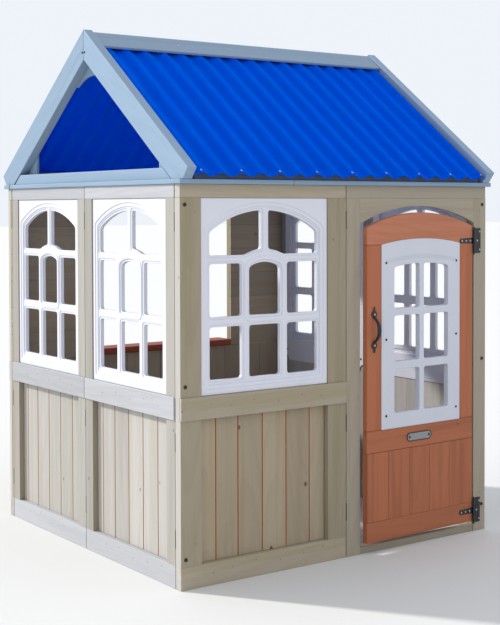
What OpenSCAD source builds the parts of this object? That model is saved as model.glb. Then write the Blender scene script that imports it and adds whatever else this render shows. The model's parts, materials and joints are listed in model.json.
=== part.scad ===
// Timber garden playhouse for young children: eight framed wall panels, moulded window
// inserts, a serving hatch with a counter, an arched door on T hinges, and a pitched
// roof of corrugated sheet between two timber gable trusses.
// X runs along the ridge, -Y is the door side, and Z is up. The origin is on the ground
// in the middle of the floor plan.

/* [Walls] */
// Length of the house along the ridge, outside the end panels
house_l = 1052; // [1000:1:1100]
// Depth of the house from door wall to hatch wall
house_w = 974; // [930:1:1020]
// Height of the wall panels
wall_h = 1000; // [960:1:1040]
// Thickness of a wall panel's frame
wall_t = 24; // [22:1:28]
// Height of a panel's top rail
top_rail_h = 34; // [28:1:40]
// Height of a panel's bottom rail
bottom_rail_h = 57; // [45:1:65]
// Underside of the middle rail
mid_rail_z = 418; // [400:1:430]
// Height of the middle rail
mid_rail_h = 57; // [45:1:60]
// How far the middle rail stands out from the stiles
mid_rail_proud = 4; // [2:0.5:6]
// Width of the stiles on the door wall
front_stile_w = 62; // [55:1:66]
// Width of the stiles on the gable walls
side_stile_w = 40; // [34:1:44]
// Spacing of the upright boards below the middle rail
board_pitch = 73.5; // [60:0.5:90]
// Thickness of the boards
board_t = 9; // [7:0.5:11]

/* [Hatch] */
// Width of the serving hatch in the rear wall
hatch_w = 566; // [520:1:600]
// Thickness of the counter
counter_t = 20; // [16:1:24]
// How far the counter stands out behind the wall
counter_out = 45; // [38:1:60]
// How far the counter stands into the room
counter_in = 14; // [8:1:20]

/* [Door] */
// Width of the door leaf
door_w = 416; // [400:1:418]
// Thickness of the door leaf
door_t = 18; // [15:0.5:20]
// Angle that the door stands open at rest
door_ajar = 2.5; // [0:0.5:20]
// Height of the door leaf at the middle of its arch
door_top = 927; // [900:1:930]
// Gap between the ground and the door leaf
door_bottom = 30; // [24:1:40]

/* [Roof] */
// Height of the ridge above the ground
ridge_z = 1430; // [1400:1:1460]
// How far the rakes reach beyond the walls
rake_overhang = 36; // [30:1:44]
// Width of a rake board
rake_w = 67; // [55:1:75]
// Thickness of a rake board
rake_t = 27; // [20:1:30]
// Spacing of the roof sheet's waves
wave_pitch = 60; // [50:1:76]
// Height of the roof sheet's waves from trough to crest
wave_h = 10.5; // [8:0.5:14]

/* [Hidden] */
$fn = 64;
e = 0.01;
joint_gap = 2;
board_gap = 0.8;
frame_top = wall_h - top_rail_h;
mid_rail_top = mid_rail_z + mid_rail_h;
panel_mid = house_l / 2;
side_start = wall_t + joint_gap;
side_mid = house_w / 2;
notch_d = 5;

// Window insert: one moulding behind the frame, drawn about its middle
win_face = 3;
win_base = 7;
win_back = 18;
flange_t = 3;
flange_w = 18;
flange_drop = 63;
big_arc_z = 645;
big_arc_r = 310;
pane_arc_r = 290;
small_arc_z = 701;
small_arc_r = 102;
row3_z = [511, 643];
row2_z = [668, 801];
row1_z = 822;
muntin_w = 23;

// Door leaf: x runs from the hinge axis towards the handle side when negative
axis_x = house_l - 49.5;
axis_y = -4.2;
leaf_r = axis_x - 2.5;
leaf_l = leaf_r - door_w;
door_arc_r = 561;
door_arc_z = door_top - door_arc_r;
door_stile_w = 52;
door_mid_z = [274, 335];
door_low_z = 87;
door_shoulder = 840;
pane_x = leaf_l + door_w / 2 - 2;
pane_hw = 154;
insert_arc_r = 798;
insert_top = 855;
door_rows = [[377, 497], [519, 645]];
door_row1_z = 665;
door_pane_hw = 106;
door_muntin_w = 17;
door_pane_arc_z = 167;
door_pane_arc_r = 620;
door_screw_x = 138;
door_screw_z = [372, 581, 790];
handle_z = 610;
handle_in = 25;
handle_reach = 84;
handle_out = 24;
nameplate_x = 198;
nameplate_z = 304;
nameplate_hw = 36;
nameplate_h = 24;
jamb_l = 574;
jamb_r = house_l - 47;
opening_arc_r = 505;
opening_top = 945;
hinge_z = [62, 845];
knuckle_r = 3.6;
pin_r = 1.6;
leaf_t = 1.8;

// Roof
roof_y = house_w / 2;
slope_run = roof_y + rake_overhang;
eave_z = 1040;
slope = atan((ridge_z - eave_z) / slope_run);
plate_t = 12;
tie_h = 29;
sheet_t = 1.5;
sheet_depth = 18;
sheet_top_s = 19;
under_sheet = sheet_depth + (wave_h + sheet_t) / 2 + 0.05;
cap_t = 8;
cap_w = 76;
gusset_t = 9;
gusset_y = [44, 140];
gusset_arc_z = 1135;
gusset_arc_r = 171;
eave_joint_x = 340;
sheet_over = 4;

bolt_r = 3;
bolt_in = 14;
bolt_l = 52;
bolt_hole_l = 54.2;
bolt_z = [76, 502, 949];

// ---------- helpers ----------

module house() translate([-house_l / 2, -house_w / 2, 0]) children();

module block(x, y, z) translate([x[0], y[0], z[0]]) cube([x[1] - x[0], y[1] - y[0], z[1] - z[0]]);

// Turns wall coordinates (along the wall seen from outside, inwards, up) to house ones
module on_wall(side) {
    if (side == "front") children();
    if (side == "right") translate([house_l, 0, 0]) rotate([0, 0, 90]) children();
    if (side == "back") translate([house_l, house_w, 0]) rotate([0, 0, 180]) children();
    if (side == "left") translate([0, house_w, 0]) rotate([0, 0, -90]) children();
}

// An upright outline in X and Z, given depth along Y
module upright(y0, y1) translate([0, y1, 0]) rotate([90, 0, 0]) linear_extrude(y1 - y0) children();

// A rectangle whose top is cut by a circle about (0, zc)
module arch(hw, zb, zc, r) {
    intersection() {
        translate([-hw, zb]) square([2 * hw, zc + r - zb]);
        translate([0, zc]) circle(r, $fn = 180);
    }
}

// ---------- wall panels ----------

module bolt_holes() {
    for (x = [bolt_in, house_l - bolt_in], z = bolt_z) {
        translate([x, -e, z]) rotate([-90, 0, 0]) cylinder(r = bolt_r + 0.1, h = bolt_hole_l);
        translate([x, house_w + e, z]) rotate([90, 0, 0]) cylinder(r = bolt_r + 0.1, h = bolt_hole_l);
    }
}

module stiles(side, ends, w) {
    color("#B4AC9C") house() difference() {
        on_wall(side) for (x = [ends[0], ends[1] - w]) difference() {
            block([x, x + w], [0, wall_t], [bottom_rail_h, frame_top]);
            block([x - 1, x + w + 1], [-1, notch_d], [mid_rail_z, mid_rail_top]);
        }
        bolt_holes();
    }
}

module rails(side, ends) {
    color("#C9C6C2") house() on_wall(side) {
        block(ends, [0, wall_t], [0, bottom_rail_h]);
        block(ends, [-mid_rail_proud, notch_d], [mid_rail_z, mid_rail_top]);
        block(ends, [0, wall_t], [frame_top, wall_h]);
    }
}

// Upright boards side by side, let in flush with the room side of the frame
module boards(side, ends, first, z) {
    color("#B0A592") house() on_wall(side) {
        cuts = concat([ends[0]], [for (x = first; x < ends[1] - 12; x = x + board_pitch) x], [ends[1]]);
        for (i = [0 : len(cuts) - 2])
            block([cuts[i] + board_gap / 2, cuts[i + 1] - board_gap / 2], [wall_t - board_t, wall_t], z);
    }
}

// Glass-free openings of a window insert with half width hw
module panes(hw) {
    edge = hw - 30;
    c = 0.244 * hw;
    difference() {
        arch(edge, row1_z, big_arc_z, pane_arc_r);
        translate([-muntin_w / 2, row1_z - 1]) square([muntin_w, 200]);
        translate([0, small_arc_z]) circle(small_arc_r + 33, $fn = 180);
    }
    for (s = [-1, 1], z = [row3_z, row2_z])
        translate([s < 0 ? -edge : c + muntin_w, z[0]]) square([edge - c - muntin_w, z[1] - z[0]]);
    translate([-c, row3_z[0]]) square([2 * c, row3_z[1] - row3_z[0]]);
    arch(c, row2_z[0], small_arc_z, small_arc_r);
}

module window_insert(side, ends) {
    hw = (ends[1] - ends[0]) / 2 - 0.5;
    c = 0.244 * hw;
    low = mid_rail_top + 0.5;
    high = frame_top - 0.5;
    color("#E9EAF0") house() on_wall(side) translate([(ends[0] + ends[1]) / 2, 0, 0]) {
        upright(win_base, win_back) difference() {
            translate([-hw, low]) square([2 * hw, high - low]);
            panes(hw);
        }
        upright(win_face, win_base + e) difference() {
            arch(hw - 12, low + 14, big_arc_z, big_arc_r);
            panes(hw);
        }
        upright(win_face - 2, win_face + e) difference() {
            arch(c + 11, row2_z[0] - 11, small_arc_z, small_arc_r + 22);
            arch(c, row2_z[0], small_arc_z, small_arc_r);
        }
        upright(win_back - e, wall_t + e) difference() {
            translate([-hw, low]) square([2 * hw, high - low]);
            translate([-hw + 11, low + 11]) square([2 * hw - 22, high - low - 22]);
        }
        upright(wall_t, wall_t + flange_t) difference() {
            translate([-hw - flange_w, mid_rail_top - flange_drop])
                square([2 * (hw + flange_w), high + flange_w - mid_rail_top + flange_drop]);
            translate([-hw + 11, low + 11]) square([2 * hw - 22, high - low - 22]);
            for (x = [-hw - flange_w, hw + flange_w]) translate([x, mid_rail_top - flange_drop]) circle(20);
        }
    }
}

module front_stiles() stiles("front", [0, panel_mid - 1], front_stile_w);
module front_rails() rails("front", [0, panel_mid - 1]);
module front_boards() {
    ends = [front_stile_w + 0.4, panel_mid - 1 - front_stile_w - 0.4];
    boards("front", ends, 108, [bottom_rail_h, mid_rail_top - 0.5]);
}
module front_window() window_insert("front", [front_stile_w, panel_mid - 1 - front_stile_w]);

// The two panels of a gable wall, counted along the wall as seen from outside
side_a = [side_start, side_mid - 1];
side_b = [side_mid + 1, house_w - side_start];
module side_boards(side, ends) {
    clear = [ends[0] + side_stile_w + 0.4, ends[1] - side_stile_w - 0.4];
    boards(side, clear, clear[0] + 42, [bottom_rail_h, mid_rail_top - 0.5]);
}
module side_window(side, ends) window_insert(side, [ends[0] + side_stile_w, ends[1] - side_stile_w]);

module left_front_stiles() stiles("left", side_b, side_stile_w);
module left_front_rails() rails("left", side_b);
module left_front_boards() side_boards("left", side_b);
module left_front_window() side_window("left", side_b);
module left_rear_stiles() stiles("left", side_a, side_stile_w);
module left_rear_rails() rails("left", side_a);
module left_rear_boards() side_boards("left", side_a);
module left_rear_window() side_window("left", side_a);
module right_front_stiles() stiles("right", side_a, side_stile_w);
module right_front_rails() rails("right", side_a);
module right_front_boards() side_boards("right", side_a);
module right_front_window() side_window("right", side_a);
module right_rear_stiles() stiles("right", side_b, side_stile_w);
module right_rear_rails() rails("right", side_b);
module right_rear_boards() side_boards("right", side_b);
module right_rear_window() side_window("right", side_b);

// ---------- rear wall with the hatch ----------

back_a = [0, panel_mid - 1];
back_b = [panel_mid + 1, house_l];
hatch = [(house_l - hatch_w) / 2, (house_l + hatch_w) / 2];
level_boards = 6;
back_first = 48;
post_w = 38;
counter_gap = 3;
bracket_t = 22;
bracket_in = 60;

module back_stiles(ends, post) {
    color("#B4AC9C") house() difference() {
        on_wall("back") {
            for (x = [ends[0], ends[1] - front_stile_w]) {
                top = x == 0 || x == house_l - front_stile_w ? frame_top : mid_rail_z;
                difference() {
                    block([x, x + front_stile_w], [0, wall_t - board_t], [bottom_rail_h, top]);
                    block([x - 1, x + front_stile_w + 1], [-1, notch_d], [mid_rail_z, mid_rail_top]);
                }
            }
            block([post, post + post_w], [0, wall_t - board_t], [mid_rail_top, frame_top]);
        }
        bolt_holes();
    }
}

// Upright boards below, level boards beside the hatch
module back_boards(ends, beside) {
    level_pitch = (frame_top - mid_rail_top) / level_boards;
    boards("back", ends, ends[0] + back_first, [bottom_rail_h, mid_rail_top - 1]);
    color("#B0A592") house() difference() {
        on_wall("back") for (i = [0 : level_boards - 1]) {
            z = mid_rail_top + i * level_pitch;
            block(beside, [wall_t - board_t, wall_t], [z + board_gap / 2, z + level_pitch - board_gap / 2]);
        }
        bolt_holes();
    }
}

module back_right_stiles() back_stiles(back_a, hatch[0] - post_w);
module back_right_rails() rails("back", back_a);
module back_right_boards() difference() {
    back_boards([0.4, back_a[1]], [0.4, hatch[0]]);
    house() bolt_holes();
}
module back_left_stiles() back_stiles(back_b, hatch[1]);
module back_left_rails() rails("back", back_b);
module back_left_boards() difference() {
    back_boards([back_b[0], house_l - 0.4], [hatch[1], house_l - 0.4]);
    house() bolt_holes();
}

module counter() {
    r = 12;
    y0 = house_w - wall_t - counter_in;
    width = hatch_w - 2 * counter_gap;
    depth = wall_t + counter_in + counter_out;
    color("#7E3B2D") house() translate([hatch[0] + counter_gap, y0, mid_rail_top]) linear_extrude(counter_t) {
        translate([r, 0]) square([width - 2 * r, depth]);
        translate([0, r]) square([width, depth - 2 * r]);
        for (x = [r, width - r], y = [r, depth - r]) translate([x, y]) circle(r);
    }
}

// Wooden knees that carry the counter behind the wall
module counter_brackets() {
    out = counter_out - 8;
    low = mid_rail_z - 8;
    nose = 12;
    foot = 14;
    color("#B4AC9C") house() for (x = [hatch[0] + bracket_in, hatch[1] - bracket_in - bracket_t])
        translate([x, house_w + mid_rail_proud, 0]) rotate([90, 0, 90]) linear_extrude(bracket_t) polygon([
            [0.2, low], [0.2, mid_rail_top], [out, mid_rail_top], [out, mid_rail_top - nose], [foot, low]]);
}

// ---------- door frame ----------

module door_frame_stiles() {
    color("#A79C8A") house() difference() {
        union() {
            block([panel_mid + 1, jamb_l], [0, wall_t], [0, frame_top]);
            block([jamb_r, house_l], [0, wall_t], [0, frame_top]);
        }
        bolt_holes();
    }
}
module door_frame_rail() {
    color("#A79C8A") house() block([panel_mid + 1, house_l], [0, wall_t], [frame_top, wall_h]);
}
module door_frame_arch() {
    mid = (jamb_l + jamb_r) / 2;
    low = opening_top - 48;
    color("#A79C8A") house() upright(0, 15) difference() {
        translate([jamb_l + 0.3, low]) square([jamb_r - jamb_l - 0.6, frame_top - low]);
        translate([mid, opening_top - opening_arc_r]) circle(opening_arc_r, $fn = 240);
    }
}
module door_sill() color("#A79C8A") house() block([jamb_l + 0.4, jamb_r - 0.4], [2, wall_t - 2], [0, 20]);

// ---------- door leaf ----------

// Turns the closed leaf about the hinge axis to where it stands at rest
module hang() {
    house() translate([axis_x, axis_y, 0]) rotate([0, 0, door_ajar])
        translate([-axis_x, -axis_y, 0]) children();
}
module leaf_outline() {
    translate([leaf_l + door_w / 2, 0]) arch(door_w / 2, door_bottom, door_arc_z, door_arc_r);
}
module insert_outline() {
    translate([pane_x, 0]) arch(pane_hw, door_mid_z[1], insert_top - insert_arc_r, insert_arc_r);
}

module door_stiles() {
    color("#A9664B") hang() upright(0, door_t) {
        for (x = [[leaf_l, pane_x - pane_hw + 4], [pane_x + pane_hw - 4, leaf_r]])
            translate([x[0], door_mid_z[1] + 0.4]) square([x[1] - x[0], door_shoulder - door_mid_z[1] - 0.8]);
    }
}
module door_top_rail() {
    color("#A9664B") hang() upright(0, door_t) difference() {
        intersection() {
            leaf_outline();
            translate([leaf_l, door_shoulder]) square([door_w, 200]);
        }
        translate([0, -5]) intersection() {
            insert_outline();
            translate([leaf_l, door_shoulder - 10]) square([door_w, 200]);
        }
    }
}
module door_mid_rail() {
    color("#A9664B") hang() block([leaf_l, leaf_r], [0, door_t], [door_mid_z[0] + 0.4, door_mid_z[1]]);
}
module door_bottom_rail() {
    color("#A9664B") hang() block([leaf_l, leaf_r], [0, door_t], [door_bottom, door_low_z - 0.4]);
}
module door_boards() {
    pitch = 80;
    color("#A9664B") hang() for (i = [0 : 4]) {
        x = leaf_l + i * pitch;
        far = i == 4 ? leaf_r : x + pitch;
        block([x + board_gap / 2, far - board_gap / 2], [0, door_t], [door_low_z, door_mid_z[0]]);
    }
}
module door_panes() {
    c = door_muntin_w / 2;
    edge = door_pane_hw;
    difference() {
        arch(edge, door_row1_z, door_pane_arc_z, door_pane_arc_r);
        translate([-c, door_row1_z - 1]) square([2 * c, 200]);
    }
    for (s = [-edge, c], z = door_rows) translate([s, z[0]]) square([edge - c, z[1] - z[0]]);
}
module door_window() {
    color("#D9DCE6") hang() {
        upright(-3, 0) difference() {
            insert_outline();
            translate([pane_x, 0]) door_panes();
        }
        upright(-e, door_t - 4) difference() {
            translate([pane_x, 0])
                arch(pane_hw - 5, door_mid_z[1] + 1, insert_top - insert_arc_r, insert_arc_r - 6);
            translate([pane_x, 0]) door_panes();
        }
    }
}

// Wrought pull: a bowed grip between two pointed rose plates
module door_handle() {
    rose_t = 3;
    rose_r = 9;
    grip_r = 3.6;
    bow = handle_out - rose_t;
    bow_r = (pow(handle_reach / 2, 2) + pow(bow, 2)) / (2 * bow);
    bow_half = asin(handle_reach / 2 / bow_r);
    color("#17171A") hang() translate([leaf_l + handle_in, 0, handle_z]) {
        for (s = [-1, 1]) translate([0, 0, s * handle_reach / 2]) {
            rotate([90, 0, 0]) cylinder(r = rose_r, h = rose_t);
            rotate([90, 0, 0]) linear_extrude(rose_t) polygon([[-5, s * 7], [5, s * 7], [0, s * 16]]);
            translate([0, -rose_t + e, 0]) rotate([90, 0, 0]) cylinder(r = 4, h = 2);
        }
        translate([0, bow_r - handle_out, 0]) rotate([90, 0, -90]) rotate([0, 0, -bow_half])
            rotate_extrude(angle = 2 * bow_half) translate([bow_r, 0]) circle(grip_r, $fn = 32);
    }
}

// Blank oval-ended plate on the middle rail
module door_nameplate() {
    t = 2;
    color("#9A9C9E") hang() translate([leaf_l + nameplate_x, 0, nameplate_z]) rotate([90, 0, 0]) {
        linear_extrude(t) {
            square([2 * nameplate_hw, nameplate_h], center = true);
            for (s = [-1, 1]) translate([s * nameplate_hw, 0]) circle(nameplate_h / 2);
        }
        for (s = [-1, 1]) translate([s * (nameplate_hw + 2), 0, t - e]) cylinder(r = 2.5, h = 1);
    }
}
module door_screws() {
    color("#1B1B1E") hang() for (x = [-door_screw_x, door_screw_x], z = door_screw_z)
        translate([pane_x + x, -3, z]) rotate([90, 0, 0]) cylinder(r = 3.2, h = 1.6);
}

// ---------- hinges ----------

knuckle_z = [[-36, -11.5], [-11, 11], [11.5, 36]];
module knuckle(z, bore) {
    difference() {
        children();
        translate([axis_x, axis_y, z[0] - 1]) cylinder(r = bore, h = z[1] - z[0] + 2);
    }
}
module hinge_plates() {
    color("#141416") house() for (h = hinge_z) translate([0, 0, h]) {
        block([axis_x + knuckle_r + 0.8, axis_x + 28.5], [-leaf_t, 0], [-36, 36]);
        for (z = [knuckle_z[0], knuckle_z[2]]) knuckle(z, pin_r) union() {
            translate([axis_x, axis_y, z[0]]) cylinder(r = knuckle_r, h = z[1] - z[0]);
            block([axis_x, axis_x + knuckle_r + 1], [-leaf_t, -0.6], z);
        }
    }
}
// Tapered strap with a rounded tip on the door's face
module hinge_straps() {
    root = axis_x - knuckle_r - 0.5;
    tip = axis_x - 50;
    root_r = 8.5;
    tip_r = 6.6;
    z = knuckle_z[1];
    color("#141416") hang() for (h = hinge_z) translate([0, 0, h]) {
        translate([0, -e, 0]) rotate([90, 0, 0]) linear_extrude(leaf_t - e) {
            polygon([[root, -root_r], [root, root_r], [tip, tip_r], [tip, -tip_r]]);
            translate([tip, 0]) circle(tip_r);
        }
        knuckle(z, pin_r + 0.08) union() {
            translate([axis_x, axis_y, z[0]]) cylinder(r = knuckle_r, h = z[1] - z[0]);
            block([axis_x - knuckle_r - 1, axis_x], [-leaf_t, -0.6], [-root_r, root_r]);
        }
    }
}
module hinge_pins() {
    color("#2A2A2D") house() for (h = hinge_z) translate([axis_x, axis_y, h]) {
        translate([0, 0, -38]) cylinder(r = pin_r, h = 76);
        for (z = [-39.5, 36.2]) translate([0, 0, z]) cylinder(r = knuckle_r - 0.6, h = 3.3);
    }
}
module hinge_screws() {
    color("#8D8F93") house() for (h = hinge_z, p = [[23.5, 26], [17.5, 0], [23.5, -26]])
        translate([axis_x + p[0], -leaf_t, h + p[1]]) rotate([90, 0, 0]) cylinder(r = 3, h = 1.4);
}

// ---------- roof ----------

// Point on the slope: y and z of a place s down from the ridge and d under the outer face
function down(s, d) = [roof_y - s * cos(slope) + d * sin(slope), ridge_z - s * sin(slope) - d * cos(slope)];
slope_l = slope_run / cos(slope);
inner_s = (ridge_z - rake_w / cos(slope) - (wall_h + plate_t)) / sin(slope);

// A (y, z) outline given thickness along X
module gable_cut(x0, x1) translate([x0, 0, 0]) rotate([90, 0, 90]) linear_extrude(x1 - x0) children();
module both_sides() {
    children();
    translate([0, house_w, 0]) mirror([0, 1, 0]) children();
}
function inner_y(z) = roof_y - (ridge_z - rake_w / cos(slope) - z) / tan(slope);

module rakes(x0) {
    foot = wall_h + plate_t;
    end_d = (ridge_z - slope_l * sin(slope) - foot) / cos(slope);
    color("#C3D2E0") house() both_sides() gable_cut(x0, x0 + rake_t) polygon([
        [roof_y - 0.3, ridge_z], down(slope_l, 0), down(slope_l, end_d), [inner_y(foot), foot],
        [roof_y - 0.3, ridge_z - rake_w / cos(slope)]]);
}
module tie(x0) {
    foot = wall_h + plate_t;
    top = foot + tie_h;
    color("#B9C9D8") house() gable_cut(x0, x0 + rake_t - 5) polygon([
        [inner_y(foot) + 1, foot], [inner_y(top) + 1, top],
        [house_w - inner_y(top) - 1, top], [house_w - inner_y(foot) - 1, foot]]);
}
// Inner boards that tie the rakes together at the ridge and to the tie at the eaves
module gussets(x0) {
    foot = wall_h + plate_t;
    lap = rake_w / 2;
    top = down(lap, lap);
    far = down(190, lap);
    low = down(160, rake_w + 4);
    function facing(p) = [house_w - p[0], p[1]];
    color("#93AFC0") house() gable_cut(x0, x0 + gusset_t) {
        difference() {
            polygon([top, far, low, facing(low), facing(far), facing(top)]);
            translate([roof_y, gusset_arc_z]) circle(gusset_arc_r, $fn = 120);
        }
        for (m = [0, 1]) translate([m * house_w, 0]) mirror([m, 0])
            polygon([[gusset_y[0], foot], [gusset_y[1], foot], [gusset_y[1], foot + 89],
                     down(400, lap), down(500, lap)]);
    }
}
module left_rakes() rakes(0);
module left_tie() tie(2);
module left_gussets() gussets(rake_t + 0.2);
module right_rakes() rakes(house_l - rake_t);
module right_tie() tie(house_l - rake_t + 3);
module right_gussets() gussets(house_l - rake_t - gusset_t - 0.2);

// Corrugated sheet: a sine wave across the slope, pushed down the slope
module roof_sheet() {
    x0 = rake_t + 0.6;
    x1 = house_l - rake_t - 0.6;
    steps = round((x1 - x0) / wave_pitch * 12);
    top = [for (i = [0 : steps]) let (x = x0 + (x1 - x0) * i / steps)
        [x, wave_h / 2 * cos(360 * (x - house_l / 2) / wave_pitch) + sheet_t / 2]];
    low = [for (i = [0 : steps]) top[steps - i] - [0, sheet_t]];
    color("#1450C8") house() translate([0, roof_y, ridge_z]) rotate([slope, 0, 0])
        translate([0, -sheet_top_s, -sheet_depth]) rotate([90, 0, 0])
            linear_extrude(slope_l - sheet_top_s + sheet_over) polygon(concat(top, low));
}
module roof_sheet_front() roof_sheet();
module roof_sheet_back() mirror([0, 1, 0]) roof_sheet();

module ridge_caps() {
    color("#93AFC0") house() both_sides() gable_cut(rake_t + 0.6, house_l - rake_t - 0.6)
        polygon([[roof_y - 0.3, ridge_z - 4 / cos(slope)], down(cap_w, 4), down(cap_w, 4 + cap_t - 0.2),
                 [roof_y - 0.3, ridge_z - (4 + cap_t - 0.2) / cos(slope)]]);
}
module ridge_beam() {
    x0 = rake_t + gusset_t + 0.8;
    hw = 13;
    top = ridge_z - under_sheet / cos(slope);
    shoulder = top - hw * tan(slope);
    low = top - 48;
    color("#93AFC0") house() gable_cut(x0, house_l - x0) polygon([[roof_y - hw, low], [roof_y + hw, low],
        [roof_y + hw, shoulder], [roof_y, top], [roof_y - hw, shoulder]]);
}
module eave_plates() {
    pieces = [[-8, eave_joint_x - 0.5], [eave_joint_x + 0.5, house_l + 8]];
    color("#A9BFCF") house() both_sides() for (x = pieces)
        block(x, [-14, wall_t - 2], [wall_h, wall_h + plate_t]);
}
module gable_plates() {
    color("#C3D2E0") house() for (x = [-6, house_l - 30])
        block([x, x + 36], [wall_t - 1.4, house_w - wall_t + 1.4], [wall_h, wall_h + plate_t]);
}
module eave_battens() {
    foot = wall_h + plate_t;
    function under(y) = ridge_z - under_sheet / cos(slope) - (roof_y - y) * tan(slope);
    color("#A9BFCF") house() both_sides() gable_cut(rake_t + gusset_t + 1, house_l - rake_t - gusset_t - 1)
        polygon([[-8, foot], [-8, under(-8)], [22, under(22)], [22, foot]]);
}

module wall_bolts() {
    color("#1B1B1E") house() both_sides() for (x = [bolt_in, house_l - bolt_in], z = bolt_z)
        translate([x, 0, z]) {
            rotate([90, 0, 0]) cylinder(r = 5, h = 1.6);
            rotate([-90, 0, 0]) cylinder(r = bolt_r, h = bolt_l);
        }
}

front_stiles();
front_rails();
front_boards();
front_window();
door_frame_stiles();
door_frame_rail();
door_frame_arch();
door_sill();
left_front_stiles();
left_front_rails();
left_front_boards();
left_front_window();
left_rear_stiles();
left_rear_rails();
left_rear_boards();
left_rear_window();
right_front_stiles();
right_front_rails();
right_front_boards();
right_front_window();
right_rear_stiles();
right_rear_rails();
right_rear_boards();
right_rear_window();
back_left_stiles();
back_left_rails();
back_left_boards();
back_right_stiles();
back_right_rails();
back_right_boards();
counter();
counter_brackets();
door_stiles();
door_top_rail();
door_mid_rail();
door_bottom_rail();
door_boards();
door_window();
door_handle();
door_nameplate();
door_screws();
hinge_plates();
hinge_straps();
hinge_pins();
hinge_screws();
left_rakes();
left_tie();
left_gussets();
right_rakes();
right_tie();
right_gussets();
roof_sheet_front();
roof_sheet_back();
ridge_caps();
ridge_beam();
eave_plates();
gable_plates();
eave_battens();
wall_bolts();
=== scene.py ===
"""Looks of a small timber garden playhouse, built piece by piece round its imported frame.

Wall coordinates are used throughout: u runs along a wall as seen from outside, v runs inwards
from its outer face, and z is the height. All lengths are in metres.
"""

import json
import logging
import math
import random
from dataclasses import dataclass, field
from enum import Enum

import bmesh
import bpy
from mathutils import Matrix, Vector


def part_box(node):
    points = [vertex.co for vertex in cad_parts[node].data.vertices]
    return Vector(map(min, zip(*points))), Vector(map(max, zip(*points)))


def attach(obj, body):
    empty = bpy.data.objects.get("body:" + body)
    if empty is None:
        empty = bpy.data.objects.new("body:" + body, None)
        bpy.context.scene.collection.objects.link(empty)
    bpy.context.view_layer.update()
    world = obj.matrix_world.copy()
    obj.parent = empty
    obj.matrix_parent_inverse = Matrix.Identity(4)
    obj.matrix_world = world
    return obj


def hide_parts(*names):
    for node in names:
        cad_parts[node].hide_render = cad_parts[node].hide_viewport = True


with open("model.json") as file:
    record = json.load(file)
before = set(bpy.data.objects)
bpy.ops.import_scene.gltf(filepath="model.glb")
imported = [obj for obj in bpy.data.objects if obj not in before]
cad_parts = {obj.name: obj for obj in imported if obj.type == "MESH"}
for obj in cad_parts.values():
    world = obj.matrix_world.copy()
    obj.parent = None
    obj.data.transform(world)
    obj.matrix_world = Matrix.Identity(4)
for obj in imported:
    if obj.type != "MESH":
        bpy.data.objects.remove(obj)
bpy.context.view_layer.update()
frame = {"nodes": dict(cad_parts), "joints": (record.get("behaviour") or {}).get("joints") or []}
LOG = logging.getLogger("playhouse")

MM = 0.001
Point = tuple[float, float]
Chain = list[Point]

HOUSE_L = 1052 * MM
HOUSE_W = 974 * MM
WALL_T = 24 * MM
PANEL_MID = HOUSE_L / 2
SIDE_START = 26 * MM
SIDE_MID = HOUSE_W / 2
RAIL_TOP = 475 * MM
RAIL_PROUD = 4 * MM
FRAME_TOP = 966 * MM
BOTTOM_RAIL = 57 * MM


# ---------------------------------------------------------------- node and mesh helpers


def add(tree: bpy.types.NodeTree, kind: str, links: dict | None = None, **settings) -> bpy.types.Node:
    """Adds one node with its settings and links.

    Args:
        tree: The node tree that gets the node.
        kind: The node's Blender type name.
        links: Socket name or index to an output socket, or to a plain value.
        settings: Attributes set on the node before its sockets are filled.

    Returns:
        The new node.
    """
    node = tree.nodes.new(kind)
    for name, value in settings.items():
        setattr(node, name, value)
    for key, value in (links or {}).items():
        if isinstance(value, bpy.types.NodeSocket):
            tree.links.new(value, node.inputs[key])
        else:
            node.inputs[key].default_value = value
    return node


def open_tree(tree: bpy.types.NodeTree, inputs: dict[str, str]) -> bpy.types.NodeOutputs:
    """Gives a geometry tree its named inputs, a finish and one output.

    Args:
        tree: The new tree.
        inputs: Each input's name and kind of socket, the geometry first.

    Returns:
        The outputs of the tree's input node.
    """
    for name, kind in {**inputs, "Finish": "Material"}.items():
        tree.interface.new_socket(name, in_out="INPUT", socket_type="NodeSocket" + kind)
    tree.interface.new_socket("Made", in_out="OUTPUT", socket_type="NodeSocketGeometry")
    return add(tree, "NodeGroupInput").outputs


def end_tree(tree: bpy.types.NodeTree, made: bpy.types.NodeSocket, finish: bpy.types.NodeSocket) -> None:
    """Ends a geometry tree: its instances become real and take the finish.

    Args:
        tree: The tree.
        made: The geometry.
        finish: The tree's finish input.
    """
    real = add(tree, "GeometryNodeRealizeInstances", {0: made})
    dressed = add(tree, "GeometryNodeSetMaterial", {"Geometry": real.outputs[0], "Material": finish})
    add(tree, "NodeGroupOutput", {0: dressed.outputs[0]})


def linear(hex_colour: str) -> tuple[float, float, float, float]:
    """Turns an sRGB hex colour such as #A1B2C3 into a linear RGBA tuple."""
    channels = [int(hex_colour[i:i + 2], 16) / 255 for i in (1, 3, 5)]
    rgb = [c / 12.92 if c <= 0.04045 else ((c + 0.055) / 1.055) ** 2.4 for c in channels]
    return (*rgb, 1.0)


def link_object(name: str, data: bpy.types.ID) -> bpy.types.Object:
    """Makes an object of the data and links it to the scene."""
    made = bpy.data.objects.new(name, data)
    bpy.context.scene.collection.objects.link(made)
    return made


def plain_mesh(source: bpy.types.Object, name: str) -> bpy.types.Mesh:
    """Evaluates an object with its modifiers into a plain mesh and deletes the object.

    Args:
        source: An object whose modifiers or curve shape are to be kept.
        name: The new mesh's name.

    Returns:
        The evaluated mesh.
    """
    graph = bpy.context.evaluated_depsgraph_get()
    mesh = bpy.data.meshes.new_from_object(source.evaluated_get(graph), depsgraph=graph)
    mesh.name = name
    old = source.data
    bpy.data.objects.remove(source)
    if isinstance(old, bpy.types.Mesh):
        bpy.data.meshes.remove(old)
    else:
        bpy.data.curves.remove(old)
    return mesh


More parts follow.
